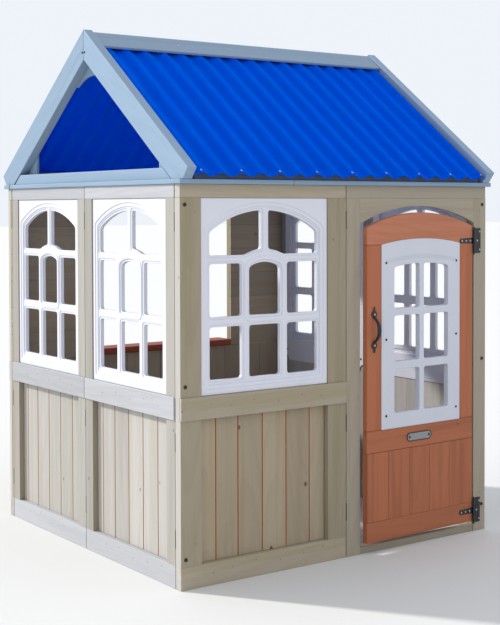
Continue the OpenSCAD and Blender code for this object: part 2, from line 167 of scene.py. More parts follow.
def join_meshes(name: str, meshes: list[bpy.types.Mesh]) -> bpy.types.Mesh:
    """Puts several meshes into one, keeping their coordinates, attributes and materials.

    Args:
        name: The joined mesh's name.
        meshes: Meshes that share one material list.

    Returns:
        The joined mesh.
    """
    bm = bmesh.new()
    for mesh in meshes:
        bm.from_mesh(mesh)
    joined = bpy.data.meshes.new(name)
    bm.to_mesh(joined)
    bm.free()
    for material in meshes[0].materials:
        joined.materials.append(material)
    for mesh in meshes:
        bpy.data.meshes.remove(mesh)
    return joined


def islands(bm: bmesh.types.BMesh) -> list[list[bmesh.types.BMVert]]:
    """Lists the vertices of each separate solid in a mesh.

    Args:
        bm: The mesh.

    Returns:
        One list of vertices for each solid.
    """
    found, seen = [], set()
    for start in bm.verts:
        if start in seen:
            continue
        seen.add(start)
        group, queue = [], [start]
        while queue:
            vert = queue.pop()
            group.append(vert)
            for edge in vert.link_edges:
                other = edge.other_vert(vert)
                if other not in seen:
                    seen.add(other)
                    queue.append(other)
        found.append(group)
    return found


def mark_grain(bm: bmesh.types.BMesh, seed: str) -> None:
    """Gives each solid its own place in the log it was sawn from.

    The grain attribute holds metres along the fibres in X and across them in Y and Z, and the
    tone attribute holds one random number for each solid.

    Args:
        bm: A mesh of one or more separate solids.
        seed: Text that fixes the random draws.
    """
    draw = random.Random(seed)
    grain = bm.verts.layers.float_vector.get("grain") or bm.verts.layers.float_vector.new("grain")
    tone = bm.verts.layers.float.get("tone") or bm.verts.layers.float.new("tone")
    for group in islands(bm):
        longest = max((e for v in group for e in v.link_edges), key=lambda e: e.calc_length())
        along = (longest.verts[1].co - longest.verts[0].co).normalized()
        side = Vector((0, 0, 1)).cross(along)
        if side.length < 0.3:
            side = Vector((0, 1, 0)).cross(along)
        side.normalize()
        third = along.cross(side)
        centre = sum((v.co for v in group), Vector()) / len(group)
        shift = Vector((draw.uniform(-9, 9), draw.uniform(-0.05, 0.05), draw.uniform(0.02, 0.09)))
        value = draw.random()
        for vert in group:
            local = vert.co - centre
            vert[grain] = Vector((local.dot(along), local.dot(side), local.dot(third))) + shift
            vert[tone] = value


class Wall(Enum):
    """The four walls, each with its corner, the way along it and the way inwards."""

    FRONT = ((-HOUSE_L / 2, -HOUSE_W / 2), (1, 0), (0, 1))
    RIGHT = ((HOUSE_L / 2, -HOUSE_W / 2), (0, 1), (-1, 0))
    BACK = ((HOUSE_L / 2, HOUSE_W / 2), (-1, 0), (0, -1))
    LEFT = ((-HOUSE_L / 2, HOUSE_W / 2), (0, -1), (1, 0))

    def matrix(self) -> Matrix:
        """The matrix that takes wall coordinates to the part's own."""
        corner, along, inwards = self.value
        return Matrix(((along[0], inwards[0], 0, corner[0]), (along[1], inwards[1], 0, corner[1]),
                       (0, 0, 1, 0), (0, 0, 0, 1)))


HOUSE = Wall.FRONT.matrix()


def door_matrix() -> Matrix:
    """The matrix that hangs the closed leaf where it stands at rest.

    Returns:
        Matrix from front wall coordinates to the part's own.
    """
    joint = frame["joints"][0]
    pivot = Matrix.Translation((joint["pos_m"][0], joint["pos_m"][1], 0))
    ajar = Matrix.Rotation(math.radians(-joint["range_deg"][0]), 4, "Z")
    return pivot @ ajar @ pivot.inverted() @ HOUSE


# ---------------------------------------------------------------- outlines and moulded plates


def arc(centre: Point, radius: float, start: float, end: float, steps: int = 14) -> Chain:
    """Points along an arc, with its angles in degrees."""
    angles = [math.radians(start + (end - start) * i / steps) for i in range(steps + 1)]
    return [(centre[0] + radius * math.cos(a), centre[1] + radius * math.sin(a)) for a in angles]


def circle(centre: Point, radius: float, steps: int = 24) -> Chain:
    """A closed circle's points."""
    return arc(centre, radius, 0, 360, steps)[:-1]


def soften(chains: list[Chain], radius: float, steps: int = 5) -> Chain:
    """Joins smooth chains into one closed outline with a rounded corner between each two.

    Args:
        chains: Straight or curved stretches in order, each starting where the last one ends.
        radius: How far from each corner the rounding starts.
        steps: Number of points along each rounding.

    Returns:
        The closed outline.
    """
    def trimmed(chain: Chain, length: float) -> Chain:
        """Shortens a chain at its start.

        Args:
            chain: The chain.
            length: How much to take off.

        Returns:
            The chain without its first stretch of that length.
        """
        points = [Vector(p) for p in chain]
        while len(points) > 2 and (points[1] - points[0]).length < length:
            length -= (points[1] - points[0]).length
            points.pop(0)
        step = points[1] - points[0]
        points[0] = points[0] + step * min(0.45, length / step.length)
        return [tuple(p) for p in points]

    cut = [trimmed(trimmed(chain, radius)[::-1], radius)[::-1] for chain in chains]
    outline: Chain = []
    for chain, here, after in zip(chains, cut, cut[1:] + cut[:1]):
        corner, start, end = Vector(chain[-1]), Vector(here[-1]), Vector(after[0])
        outline += here
        for i in range(1, steps):
            t = i / steps
            outline.append(tuple(start * (1 - t) ** 2 + corner * 2 * t * (1 - t) + end * t ** 2))
    return outline


def polygon_chains(points: Chain) -> list[Chain]:
    """The sides of a polygon as chains."""
    return [[a, b] for a, b in zip(points, points[1:] + points[:1])]


def rectangle(u0: float, u1: float, z0: float, z1: float, radius: float) -> Chain:
    """A rectangle with rounded corners."""
    return soften(polygon_chains([(u0, z0), (u1, z0), (u1, z1), (u0, z1)]), radius)


def arched(half: float, z0: float, centre_z: float, radius: float, corner: float,
           middle: float = 0.0) -> Chain:
    """A rectangle whose top is an arc.

    Args:
        half: Half its width.
        z0: Its bottom edge.
        centre_z: Height of the arc's centre.
        radius: The arc's radius.
        corner: The rounding at its corners.
        middle: Where its middle is along u.

    Returns:
        The closed outline.
    """
    spread = math.degrees(math.asin(min(1.0, half / radius)))
    top = arc((middle, centre_z), radius, 90 - spread, 90 + spread, 28)
    return soften([[(middle - half, z0), (middle + half, z0)], [(middle + half, z0), top[0]], top,
                   [top[-1], (middle - half, z0)]], corner)


def plate(name: str, outlines: list[Chain], depth: Point, rounding: float, place: Matrix,
          resolution: int = 2) -> bpy.types.Mesh:
    """An upright moulded plate with rounded edges; outlines inside the first one are holes.

    Args:
        name: The mesh's name.
        outlines: Closed outlines in u and z.
        depth: Where its front and back faces are along v.
        rounding: Radius of its edges.
        place: Matrix from wall coordinates to the part's own.
        resolution: Segments along each rounded edge.

    Returns:
        A closed mesh in the part's coordinates.
    """
    curve = bpy.data.curves.new(name, "CURVE")
    curve.dimensions = "2D"
    curve.fill_mode = "BOTH"
    curve.extrude = (depth[1] - depth[0]) / 2 - rounding
    curve.bevel_depth = rounding
    curve.bevel_resolution = resolution
    curve.offset = -rounding
    for outline in outlines:
        spline = curve.splines.new("POLY")
        spline.points.add(len(outline) - 1)
        for point, (u, z) in zip(spline.points, outline):
            point.co = (u, z, 0, 1)
        spline.use_cyclic_u = True
    mesh = plain_mesh(link_object(name, curve), name)
    upright = Matrix.Translation((0, (depth[0] + depth[1]) / 2, 0)) @ Matrix.Rotation(math.pi / 2, 4, "X")
    bm = bmesh.new()
    bm.from_mesh(mesh)
    bmesh.ops.remove_doubles(bm, verts=bm.verts, dist=1e-6)
    bmesh.ops.transform(bm, matrix=place @ upright, verts=bm.verts)
    bmesh.ops.recalc_face_normals(bm, faces=bm.faces)
    bm.to_mesh(mesh)
    bm.free()
    return mesh


def turned(name: str, profile: Chain, place: Matrix, steps: int = 20) -> bpy.types.Mesh:
    """A solid of revolution about its local Z.

    Args:
        name: The mesh's name.
        profile: Radius and height points from the lower pole to the upper one.
        place: Matrix from its own coordinates to the part's.
        steps: Number of sides.

    Returns:
        A closed mesh.
    """
    bm = bmesh.new()
    rings = []
    for radius, height in profile:
        if radius == 0:
            rings.append([bm.verts.new((0, 0, height))])
            continue
        rings.append([bm.verts.new((radius * math.cos(math.tau * i / steps),
                                    radius * math.sin(math.tau * i / steps), height))
                      for i in range(steps)])
    for low, high in zip(rings, rings[1:]):
        for i in range(steps):
            j = (i + 1) % steps
            loop = [low[i % len(low)], low[j % len(low)], high[j % len(high)], high[i % len(high)]]
            bm.faces.new(list(dict.fromkeys(loop)))
    bmesh.ops.transform(bm, matrix=place, verts=bm.verts)
    bmesh.ops.recalc_face_normals(bm, faces=bm.faces)
    mesh = bpy.data.meshes.new(name)
    bm.to_mesh(mesh)
    bm.free()
    return mesh


class Body(Enum):
    """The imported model's two rigid bodies."""

    HOUSE = "house"
    DOOR = "door"


def finish_piece(mesh: bpy.types.Mesh, name: str, material: bpy.types.Material, body: Body,
                 nodes: list[str], sharp: float = 40.0) -> bpy.types.Object:
    """Makes a mesh one of the object's pieces and reports it.

    Args:
        mesh: A closed mesh in the part's coordinates.
        name: The piece's name.
        material: The finish.
        body: The body that it rides on.
        nodes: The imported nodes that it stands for.
        sharp: Edges that turn by more than this many degrees stay crisp.

    Returns:
        The piece.
    """
    if not mesh.materials:
        mesh.materials.append(material)
    mesh.shade_smooth()
    mesh.set_sharp_from_angle(angle=math.radians(sharp))
    piece = link_object(name, mesh)
    weighted = piece.modifiers.new("Flat faces keep their shade", "WEIGHTED_NORMAL")
    weighted.keep_sharp = True
    piece = link_object(name, plain_mesh(piece, name))
    piece.name = name
    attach(piece, body.value)
    if nodes:
        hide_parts(*nodes)
    LOG.info("%s: %d faces on %s", name, len(piece.data.polygons), body.value)
    return piece


# ---------------------------------------------------------------- finishes


@dataclass(frozen=True)
class Timber:
    """Planed softwood under a stain or thin paint.

    The stain evens the colour, so the rings and fibres show only as faint streaks, while knots,
    unstained joints and uneven coats still tell.

    Attributes:
        name: What it is.
        base: The stained wood's main colour.
        late: Colour of the late wood in the rings.
        pale: Colour of the fibre streaks.
        patch: Colour where the stain lies thick.
        knot: Colour of the knots.
        raw: Colour of the faces that the stain never reached.
        rings: Strength of the rings.
        fibres: Strength of the streaks.
        patches: Strength of the thick patches.
        knots: Strength of the knots.
        tones: Darkest and lightest board, as factors of the colour.
        roughness: Between the closed and the open grain.
        ring_spacing: Spacing of the rings.
        knot_spacing: Rough spacing of the branches.
        knot_radius: Radius of the knots.
        fibre_width: Width of the streaks.
    """

    name: str
    base: str
    late: str
    pale: str
    patch: str
    knot: str = "#6E4E38"
    raw: str = "#A8672F"
    rings: float = 0.22
    fibres: float = 0.40
    patches: float = 0.5
    knots: float = 0.7
    tones: tuple[float, float] = (0.90, 1.06)
    roughness: tuple[float, float] = (0.50, 0.66)
    ring_spacing: float = 5.5 * MM
    knot_spacing: float = 92 * MM
    knot_radius: float = 3.4 * MM
    fibre_width: float = 1.3 * MM

    def material(self) -> bpy.types.Material:
        """Builds the finish once.

        Returns:
            The material, the same one each time.
        """
        if self.name in bpy.data.materials:
            return bpy.data.materials[self.name]
        made = bpy.data.materials.new(self.name)
        made.use_nodes = True
        tree = made.node_tree
        shader = tree.nodes["Principled BSDF"]
        grain = add(tree, "ShaderNodeAttribute", attribute_name="grain").outputs["Vector"]
        tone = add(tree, "ShaderNodeAttribute", attribute_name="tone").outputs["Fac"]
        raw = add(tree, "ShaderNodeAttribute", attribute_name="raw").outputs["Fac"]

        def scaled(factors: tuple[float, float, float]) -> bpy.types.NodeSocket:
            """The grain coordinates times a factor on each axis."""
            return add(tree, "ShaderNodeVectorMath", {0: grain, 1: factors}, operation="MULTIPLY").outputs[0]

        def mixed(factor: bpy.types.NodeSocket, a: object, b: object) -> bpy.types.NodeSocket:
            """Colour a turned towards colour b by the factor."""
            return add(tree, "ShaderNodeMix", {0: factor, 6: a, 7: b}, data_type="RGBA").outputs[2]

        def ranged(value: bpy.types.NodeSocket, source: Point, target: Point) -> bpy.types.NodeSocket:
            """The value moved smoothly from one range to another."""
            return add(tree, "ShaderNodeMapRange", {0: value, 1: source[0], 2: source[1], 3: target[0],
                                                    4: target[1]}, interpolation_type="SMOOTHSTEP").outputs[0]

        # Knots: round spots about a branch, with the rings crowding round them
        cells = 1 / self.knot_spacing
        branch = add(tree, "ShaderNodeTexVoronoi", {"Vector": scaled((cells * 0.7, cells, cells)),
                                                    "Scale": 1.0})
        away = branch.outputs["Distance"]
        core = self.knot_radius * cells
        knot = ranged(away, (core * 0.55, core * 1.35), (self.knots, 0.0))
        halo = ranged(away, (core, core * 4.5), (1.0, 0.0))
        # Growth rings: circles about the pith, wandering along the log
        wander = add(tree, "ShaderNodeTexNoise", {"Vector": scaled((1.6, 9.0, 9.0)), "Scale": 1.0,
                                                  "Detail": 2.0})
        radius = add(tree, "ShaderNodeVectorMath", {0: scaled((0.03, 1.0, 1.0))}, operation="LENGTH")
        turns = add(tree, "ShaderNodeMath", {0: radius.outputs["Value"], 1: self.ring_spacing},
                    operation="DIVIDE")
        bent = add(tree, "ShaderNodeMath", {0: wander.outputs["Fac"], 1: 2.2, 2: turns.outputs[0]},
                   operation="MULTIPLY_ADD")
        crowded = add(tree, "ShaderNodeMath", {0: halo, 1: 0.7, 2: bent.outputs[0]}, operation="MULTIPLY_ADD")
        phase = add(tree, "ShaderNodeMath", {0: crowded.outputs[0]}, operation="FRACT")
        late = ranged(phase.outputs[0], (0.35, 0.97), (0.0, self.rings))
        # Fibres: short streaks along the grain, drawn wider than real ones so that they show
        across = 1 / self.fibre_width
        fibre = add(tree, "ShaderNodeTexNoise", {"Vector": scaled((across / 55, across, across)),
                                                 "Scale": 1.0, "Detail": 3.0, "Roughness": 0.6})
        streak = ranged(fibre.outputs["Fac"], (0.38, 0.72), (0.0, self.fibres))
        # The stain lies thicker in some places, in long soft patches
        coat = add(tree, "ShaderNodeTexNoise", {"Vector": scaled((1.5, 42.0, 42.0)), "Scale": 1.0,
                                                "Detail": 3.0})
        patch = ranged(coat.outputs["Fac"], (0.45, 0.68), (0.0, self.patches))

        colour = mixed(late, linear(self.base), linear(self.late))
        colour = mixed(streak, colour, linear(self.pale))
        colour = mixed(patch, colour, linear(self.patch))
        shade = ranged(tone, (0.0, 1.0), self.tones)
        colour = add(tree, "ShaderNodeVectorMath", {0: colour, 1: shade}, operation="MULTIPLY").outputs[0]
        colour = mixed(knot, colour, linear(self.knot))
        colour = mixed(raw, colour, linear(self.raw))
        height = add(tree, "ShaderNodeMath", {0: late, 1: 0.6, 2: fibre.outputs["Fac"]},
                     operation="MULTIPLY_ADD")
        bump = add(tree, "ShaderNodeBump", {"Height": height.outputs[0], "Strength": 0.55,
                                            "Distance": 0.35 * MM})
        tree.links.new(colour, shader.inputs["Base Color"])
        tree.links.new(ranged(fibre.outputs["Fac"], (0.3, 0.7), self.roughness), shader.inputs["Roughness"])
        tree.links.new(bump.outputs[0], shader.inputs["Normal"])
        shader.inputs["IOR"].default_value = 1.5
        shader.inputs["Specular IOR Level"].default_value = 0.3
        return made


FRAME_STAIN = Timber("Beige stained spruce frame", "#9C917B", "#877C63", "#A99F8B", "#8C8161")
BOARD_STAIN = Timber("Beige stained spruce boards", "#A4967F", "#8F8169", "#B1A48F", "#9D896C",
                     knot="#4E3828", knots=0.9, knot_spacing=74 * MM, knot_radius=4.4 * MM)
RAIL_STAIN = Timber("Beige stained spruce rails", "#A69B87", "#948974", "#B3A998", "#9B8F6F", knots=0.6)
PALE_FRAME = Timber("Grey-white washed spruce frame", "#A4A19A", "#8E8A81", "#B2B0AA", "#979283")
PALE_BOARD = Timber("Grey-white washed spruce boards", "#B5B1AB", "#A09B93", "#C3C0BB", "#A8A193",
                    raw="#9A7450", tones=(0.88, 1.07))
PALE_RAIL = Timber("Grey-white washed spruce rails", "#B1B2B6", "#9B9B9C", "#BFC1C5", "#A3A3A5", knots=0.6)
JAMB_STAIN = Timber("Grey-beige stained spruce jambs", "#9E9483", "#8B816E", "#ABA193", "#928873", knots=0.5)
ROOF_PAINT = Timber("Pale blue painted spruce", "#869EB5", "#748CA3", "#99AFC3", "#7D95A9", knot="#455A6D",
                    rings=0.18, fibres=0.35, knots=0.7, tones=(0.94, 1.04), roughness=(0.42, 0.55))
# Painted shade: the eave battens get a dark slate blue in place of the pale roof paint, standing for the
# shade under the sheets' crests
BATTEN_PAINTED_SHADE = Timber("Slate blue primed spruce", "#43546B", "#38475C", "#51637B", "#3C4C62", knot="#2A3644",
                      rings=0.18, fibres=0.35, tones=(0.94, 1.04), roughness=(0.55, 0.68))
DOOR_STAIN = Timber("Terracotta stained spruce", "#AB6645", "#925236", "#B87351", "#94563A", knot="#5A2E20",
                    patches=0.6, tones=(0.94, 1.04), raw="#8A5039", knots=0.5)
DOOR_RAIL_STAIN = Timber("Pale terracotta stained spruce", "#B97557", "#A56345", "#C48366", "#AA694B",
                         knot="#6E3C2A", tones=(0.98, 1.03), knots=0.5)
COUNTER_STAIN = Timber("Dark terracotta stained spruce", "#994A34", "#7C3826", "#A95B42", "#89412D",
                       knot="#45201A", raw="#5A2A1E")
TONGUE = Timber("Unstained spruce tongues", "#95592A", "#7C471F", "#A86F3C", "#8B5124")

# How far light goes into the moulded plastics
SOFT_SCALE = 2.5 * MM


@dataclass(frozen=True)
class Plastic:
    """Moulded plastic: even colour, a satin skin and the faint waviness that the mould leaves.

    Attributes:
        name: What it is.
        base: Its main colour.
        shade: The colour that it drifts to.
        roughness: Its lowest and highest roughness.
        skin: Size of the skin's fine texture.
        skin_depth: That texture's depth.
        waves: Length of the slow waves.
        waves_depth: Their depth.
        specular: Strength of its gloss.
        soft: How much light goes into it.
        reach: How far red, green and blue light go, as factors of SOFT_SCALE.
    """

    name: str
    base: str
    shade: str
    roughness: tuple[float, float]
    skin: float = 0.7 * MM
    skin_depth: float = 0.03 * MM
    waves: float = 60 * MM
    waves_depth: float = 0.25 * MM
    specular: float = 0.5
    soft: float = 0.0
    reach: tuple[float, float, float] = (1.0, 1.0, 1.0)

    def material(self) -> bpy.types.Material:
        """Builds the finish once.

        Returns:
            The material, the same one each time.
        """
        if self.name in bpy.data.materials:
            return bpy.data.materials[self.name]
        made = bpy.data.materials.new(self.name)
        made.use_nodes = True
        tree = made.node_tree
        shader = tree.nodes["Principled BSDF"]
        place = add(tree, "ShaderNodeTexCoord").outputs["Object"]
        slow = add(tree, "ShaderNodeTexNoise", {"Vector": place, "Scale": 1 / self.waves, "Detail": 2.0})
        fine = add(tree, "ShaderNodeTexNoise", {"Vector": place, "Scale": 1 / self.skin, "Detail": 2.0})
        colour = add(tree, "ShaderNodeMix", {0: slow.outputs["Fac"], 6: linear(self.base),
                                             7: linear(self.shade)}, data_type="RGBA")
        rough = add(tree, "ShaderNodeMapRange", {0: slow.outputs["Fac"], 1: 0.3, 2: 0.7,
                                                 3: self.roughness[0], 4: self.roughness[1]})
        broad = add(tree, "ShaderNodeBump", {"Height": slow.outputs["Fac"], "Distance": self.waves_depth,
                                             "Strength": 0.6})
        close = add(tree, "ShaderNodeBump", {"Height": fine.outputs["Fac"], "Distance": self.skin_depth,
                                             "Strength": 0.6, "Normal": broad.outputs[0]})
        tree.links.new(colour.outputs[2], shader.inputs["Base Color"])
        tree.links.new(rough.outputs[0], shader.inputs["Roughness"])
        tree.links.new(close.outputs[0], shader.inputs["Normal"])
        shader.inputs["IOR"].default_value = 1.49
        shader.inputs["Specular IOR Level"].default_value = self.specular
        shader.inputs["Subsurface Weight"].default_value = self.soft
        shader.inputs["Subsurface Radius"].default_value = self.reach
        shader.inputs["Subsurface Scale"].default_value = SOFT_SCALE
        return made


WINDOW_WHITE = Plastic("White polyethylene moulding", "#DCDDE6", "#D5D7E1", (0.36, 0.48))
DOOR_WHITE = Plastic("Greyed white polyethylene moulding", "#CFD1DB", "#C8CBD6", (0.36, 0.48))
# The sheet lets a little blue light through, which fills the hollows of its waves
ROOF_BLUE = Plastic("Blue polypropylene roof sheet", "#004FD3", "#004BC8", (0.60, 0.70), waves=90 * MM,
                    waves_depth=0.2 * MM, specular=0.0, soft=0.9, reach=(0.02, 0.3, 1.3))


@dataclass(frozen=True)
class Metal:
    """Plated or powder-coated steel: fine speckle in its gloss and a shallow cast or coat texture.

    Attributes:
        name: What it is.
        base: Its main colour.
        shade: The colour of its speckle.
        metallic: 0 for a coat or rust, 1 for bare metal or plating.
        roughness: Its lowest and highest roughness.
        grit: Size of the speckle.
        depth: Depth of the cast or coat texture.
    """

    name: str
    base: str
    shade: str
    metallic: float
    roughness: tuple[float, float]
    grit: float = 1.1 * MM
    depth: float = 0.08 * MM

    def material(self) -> bpy.types.Material:
        """Builds the finish once.

        Returns:
            The material, the same one each time.
        """
        if self.name in bpy.data.materials:
            return bpy.data.materials[self.name]
        made = bpy.data.materials.new(self.name)
        made.use_nodes = True
        tree = made.node_tree
        shader = tree.nodes["Principled BSDF"]
        place = add(tree, "ShaderNodeTexCoord").outputs["Object"]
        speckle = add(tree, "ShaderNodeTexNoise", {"Vector": place, "Scale": 1 / self.grit, "Detail": 3.0})
        colour = add(tree, "ShaderNodeMix", {0: speckle.outputs["Fac"], 6: linear(self.base),
                                             7: linear(self.shade)}, data_type="RGBA")
        rough = add(tree, "ShaderNodeMapRange", {0: speckle.outputs["Fac"], 1: 0.3, 2: 0.7,
                                                 3: self.roughness[0], 4: self.roughness[1]})
        bump = add(tree, "ShaderNodeBump", {"Height": speckle.outputs["Fac"], "Distance": self.depth,
                                            "Strength": 0.5})
        tree.links.new(colour.outputs[2], shader.inputs["Base Color"])
        tree.links.new(rough.outputs[0], shader.inputs["Roughness"])
        tree.links.new(bump.outputs[0], shader.inputs["Normal"])
        shader.inputs["Metallic"].default_value = self.metallic
        return made


BLACK_IRON = Metal("Black powder-coated steel", "#111114", "#1E1E22", 0.0, (0.26, 0.42))
ZINC = Metal("Zinc-plated steel", "#C9CBCF", "#A9ABB0", 1.0, (0.18, 0.34), depth=0.02 * MM)
PEWTER = Metal("Cast pewter-look plate", "#A4A5A6", "#8A8B8D", 1.0, (0.30, 0.45), depth=0.05 * MM)
NAIL_STEEL = Metal("Weathered nail heads", "#5B4A3C", "#3C322B", 0.0, (0.5, 0.7))


# ---------------------------------------------------------------- timber members


@dataclass
class Joinery:
    """Sawn and planed members: each packed timber node gets eased arrises and its own grain.

    Attributes:
        arris: Radius that the planer and sandpaper leave along each edge.
        segments: Segments along that radius.
    """

    arris: float = 1.4 * MM
    segments: int = 2

    def mesh_of(self, node: str) -> bpy.types.Mesh:
        """The node's solids as one merged mesh with eased arrises and grain marks.

        Args:
            node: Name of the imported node.

        Returns:
            The new mesh; the node's own mesh is left alone.
        """
        bm = bmesh.new()
        bm.from_mesh(frame["nodes"][node].data)
        bmesh.ops.remove_doubles(bm, verts=bm.verts, dist=1e-5)
        bmesh.ops.dissolve_limit(bm, angle_limit=math.radians(0.6), verts=bm.verts, edges=bm.edges)
        mark_grain(bm, node)
        plain = bpy.data.meshes.new(node)
        bm.to_mesh(plain)
        bm.free()
        eased = link_object(node + "_eased", plain)
        bevel = eased.modifiers.new("Eased arrises", "BEVEL")
        bevel.width = self.arris
        bevel.segments = self.segments
        bevel.limit_method = "ANGLE"
        bevel.angle_limit = math.radians(30)
        return plain_mesh(eased, node)

    def make(self, node: str, slot: str, finish: Timber, body: Body = Body.HOUSE) -> bpy.types.Object:
        """Makes one node's members and returns the piece."""
        return finish_piece(self.mesh_of(node), node + "_members", finish.material(), body, [node])


@dataclass
class BoardRun:
    """Boards side by side with chamfered joints, grown by geometry nodes from flat blanks.

    Attributes:
        thickness: The boards' thickness.
        chamfer: Width of the chamfer round each face.
    """

    thickness: float = 9 * MM
    chamfer: float = 1.5 * MM

    @staticmethod
    def node_tree() -> bpy.types.NodeTree:
        """Builds the board tree once.

        Returns:
            The tree, the same one each time.
        """
        if "Chamfered boards" in bpy.data.node_groups:
            return bpy.data.node_groups["Chamfered boards"]
        tree = bpy.data.node_groups.new("Chamfered boards", "GeometryNodeTree")
        given = open_tree(tree, {"Blanks": "Geometry", "Thickness": "Float", "Chamfer": "Float"})
        body = add(tree, "ShaderNodeMath", {0: given["Thickness"], 1: given["Chamfer"]},
                   operation="SUBTRACT")
        first = add(tree, "GeometryNodeExtrudeMesh", {"Mesh": given["Blanks"], "Individual": True,
                                                      "Offset Scale": body.outputs[0]}, mode="FACES")
        second = add(tree, "GeometryNodeExtrudeMesh", {"Mesh": first.outputs["Mesh"], "Individual": True,
                                                       "Selection": first.outputs["Top"],
                                                       "Offset Scale": given["Chamfer"]}, mode="FACES")
        span = add(tree, "GeometryNodeInputNamedAttribute", {"Name": "span"}, data_type="FLOAT_VECTOR")
        size = add(tree, "ShaderNodeSeparateXYZ", {0: span.outputs[0]}).outputs
        narrowed = second.outputs["Mesh"]
        for axis, extent in (((1.0, 0.0, 0.0), size["X"]), ((0.0, 0.0, 1.0), size["Z"])):
            share = add(tree, "ShaderNodeMath", {0: given["Chamfer"], 1: extent}, operation="DIVIDE")
            factor = add(tree, "ShaderNodeMath", {0: share.outputs[0], 1: -2.0, 2: 1.0},
                         operation="MULTIPLY_ADD")
            narrowed = add(tree, "GeometryNodeScaleElements",
                           {"Geometry": narrowed, "Selection": second.outputs["Top"],
                            "Scale": factor.outputs[0], "Axis": axis},
                           domain="FACE", scale_mode="SINGLE_AXIS").outputs[0]
        marked = add(tree, "GeometryNodeStoreNamedAttribute",
                     {"Geometry": narrowed, "Selection": second.outputs["Side"], "Name": "raw", "Value": 1.0},
                     data_type="FLOAT", domain="FACE")
        backs = add(tree, "GeometryNodeFlipFaces", {"Mesh": given["Blanks"]})
        joined = add(tree, "GeometryNodeJoinGeometry")
        tree.links.new(marked.outputs[0], joined.inputs[0])
        tree.links.new(backs.outputs[0], joined.inputs[0])
        closed = add(tree, "GeometryNodeMergeByDistance", {"Geometry": joined.outputs[0], "Distance": 1e-5})
        end_tree(tree, closed.outputs[0], given["Finish"])
        return tree

    def make(self, name: str, blanks: list[tuple[float, float, float, float]], place: Matrix,
             finish: Timber, level: bool = False, back_v: float = WALL_T) -> bpy.types.Mesh:
        """Grows one run of boards.

        Args:
            name: The mesh's name, which also seeds its grain.
            blanks: Each board's low and high u and low and high z.
            place: Matrix from wall coordinates to the part's own.
            finish: The boards' finish.
            level: Whether the boards lie level, with their joints above each other.
            back_v: Where the boards' backs lie along v.

        Returns:
            The boards as one mesh of separate closed solids.
        """
        draw = random.Random(name)
        bm = bmesh.new()
        span = bm.faces.layers.float_vector.new("span")
        for u0, u1, z0, z1 in blanks:
            v = back_v - draw.uniform(0.0, 0.25) * MM
            corners = [bm.verts.new(c) for c in ((u0, v, z0), (u1, v, z0), (u1, v, z1), (u0, v, z1))]
            bm.faces.new(corners)[span] = Vector((u1 - u0, 0, z1 - z0))
        mesh = bpy.data.meshes.new(name)
        bm.to_mesh(mesh)
        bm.free()
        grown = link_object(name, mesh)
        nodes = grown.modifiers.new("Boards", "NODES")
        nodes.node_group = self.node_tree()
        set_inputs(nodes, {"Thickness": self.thickness, "Chamfer": self.chamfer, "Finish": finish.material()})
        mesh = plain_mesh(grown, name)
        bm = bmesh.new()
        bm.from_mesh(mesh)
        raw = bm.faces.layers.float["raw"]
        for face in bm.faces:
            if (abs(face.normal.z) > 0.5) != level:
                face[raw] = 0.0
        bmesh.ops.transform(bm, matrix=place, verts=bm.verts)
        bmesh.ops.recalc_face_normals(bm, faces=bm.faces)
        mark_grain(bm, name)
        bm.to_mesh(mesh)
        bm.free()
        return mesh


def set_inputs(modifier: bpy.types.NodesModifier, values: dict[str, object]) -> None:
    """Sets a geometry modifier's inputs, each by its socket's identifier."""
    for item in modifier.node_group.interface.items_tree:
        if item.item_type == "SOCKET" and item.in_out == "INPUT" and item.name in values:
            modifier[item.identifier] = values[item.name]


# ---------------------------------------------------------------- fasteners


class Head(Enum):
    """Kinds of fastener head, each with its radius and height."""

    CROSS_SCREW = (3.0 * MM, 1.4 * MM)
    DARK_SCREW = (3.2 * MM, 1.6 * MM)
    BOLT = (5.0 * MM, 1.6 * MM)
    NAIL = (1.3 * MM, 0.35 * MM)
    PLUG = (4.0 * MM, 0.4 * MM)

    def mesh(self) -> bpy.types.Mesh:
        """Makes one head.

        Returns:
            A closed mesh with its underside at the origin and its face towards +Z.
        """
        radius, height = self.value
        upright = Matrix.Rotation(-math.pi / 2, 4, "X")
        if self in (Head.NAIL, Head.PLUG):
            dome = [(0, -height), (radius, -height), (radius, height * 0.5), (radius * 0.8, height),
                    (0, height)]
            return turned(self.name, dome, Matrix.Identity(4), 12)
        outer = circle((0, 0), radius, 18)
        if self is Head.BOLT:
            recess = circle((0, 0), radius * 0.45, 6)
        else:
            a, b = radius * 0.56, radius * 0.16
            recess = [(a, -b), (a, b), (b, b), (b, a), (-b, a), (-b, b), (-a, b), (-a, -b), (-b, -b),
                      (-b, -a), (b, -a), (b, -b)]
        cap = plate(self.name, [outer, recess], (-height, 0.0), height * 0.38, upright, 1)
        seat = turned(self.name, [(0, -height), (radius * 0.8, -height), (radius * 0.8, height * 0.25),
                                  (0, height * 0.25)], Matrix.Identity(4), 12)
        return join_meshes(self.name, [cap, seat])


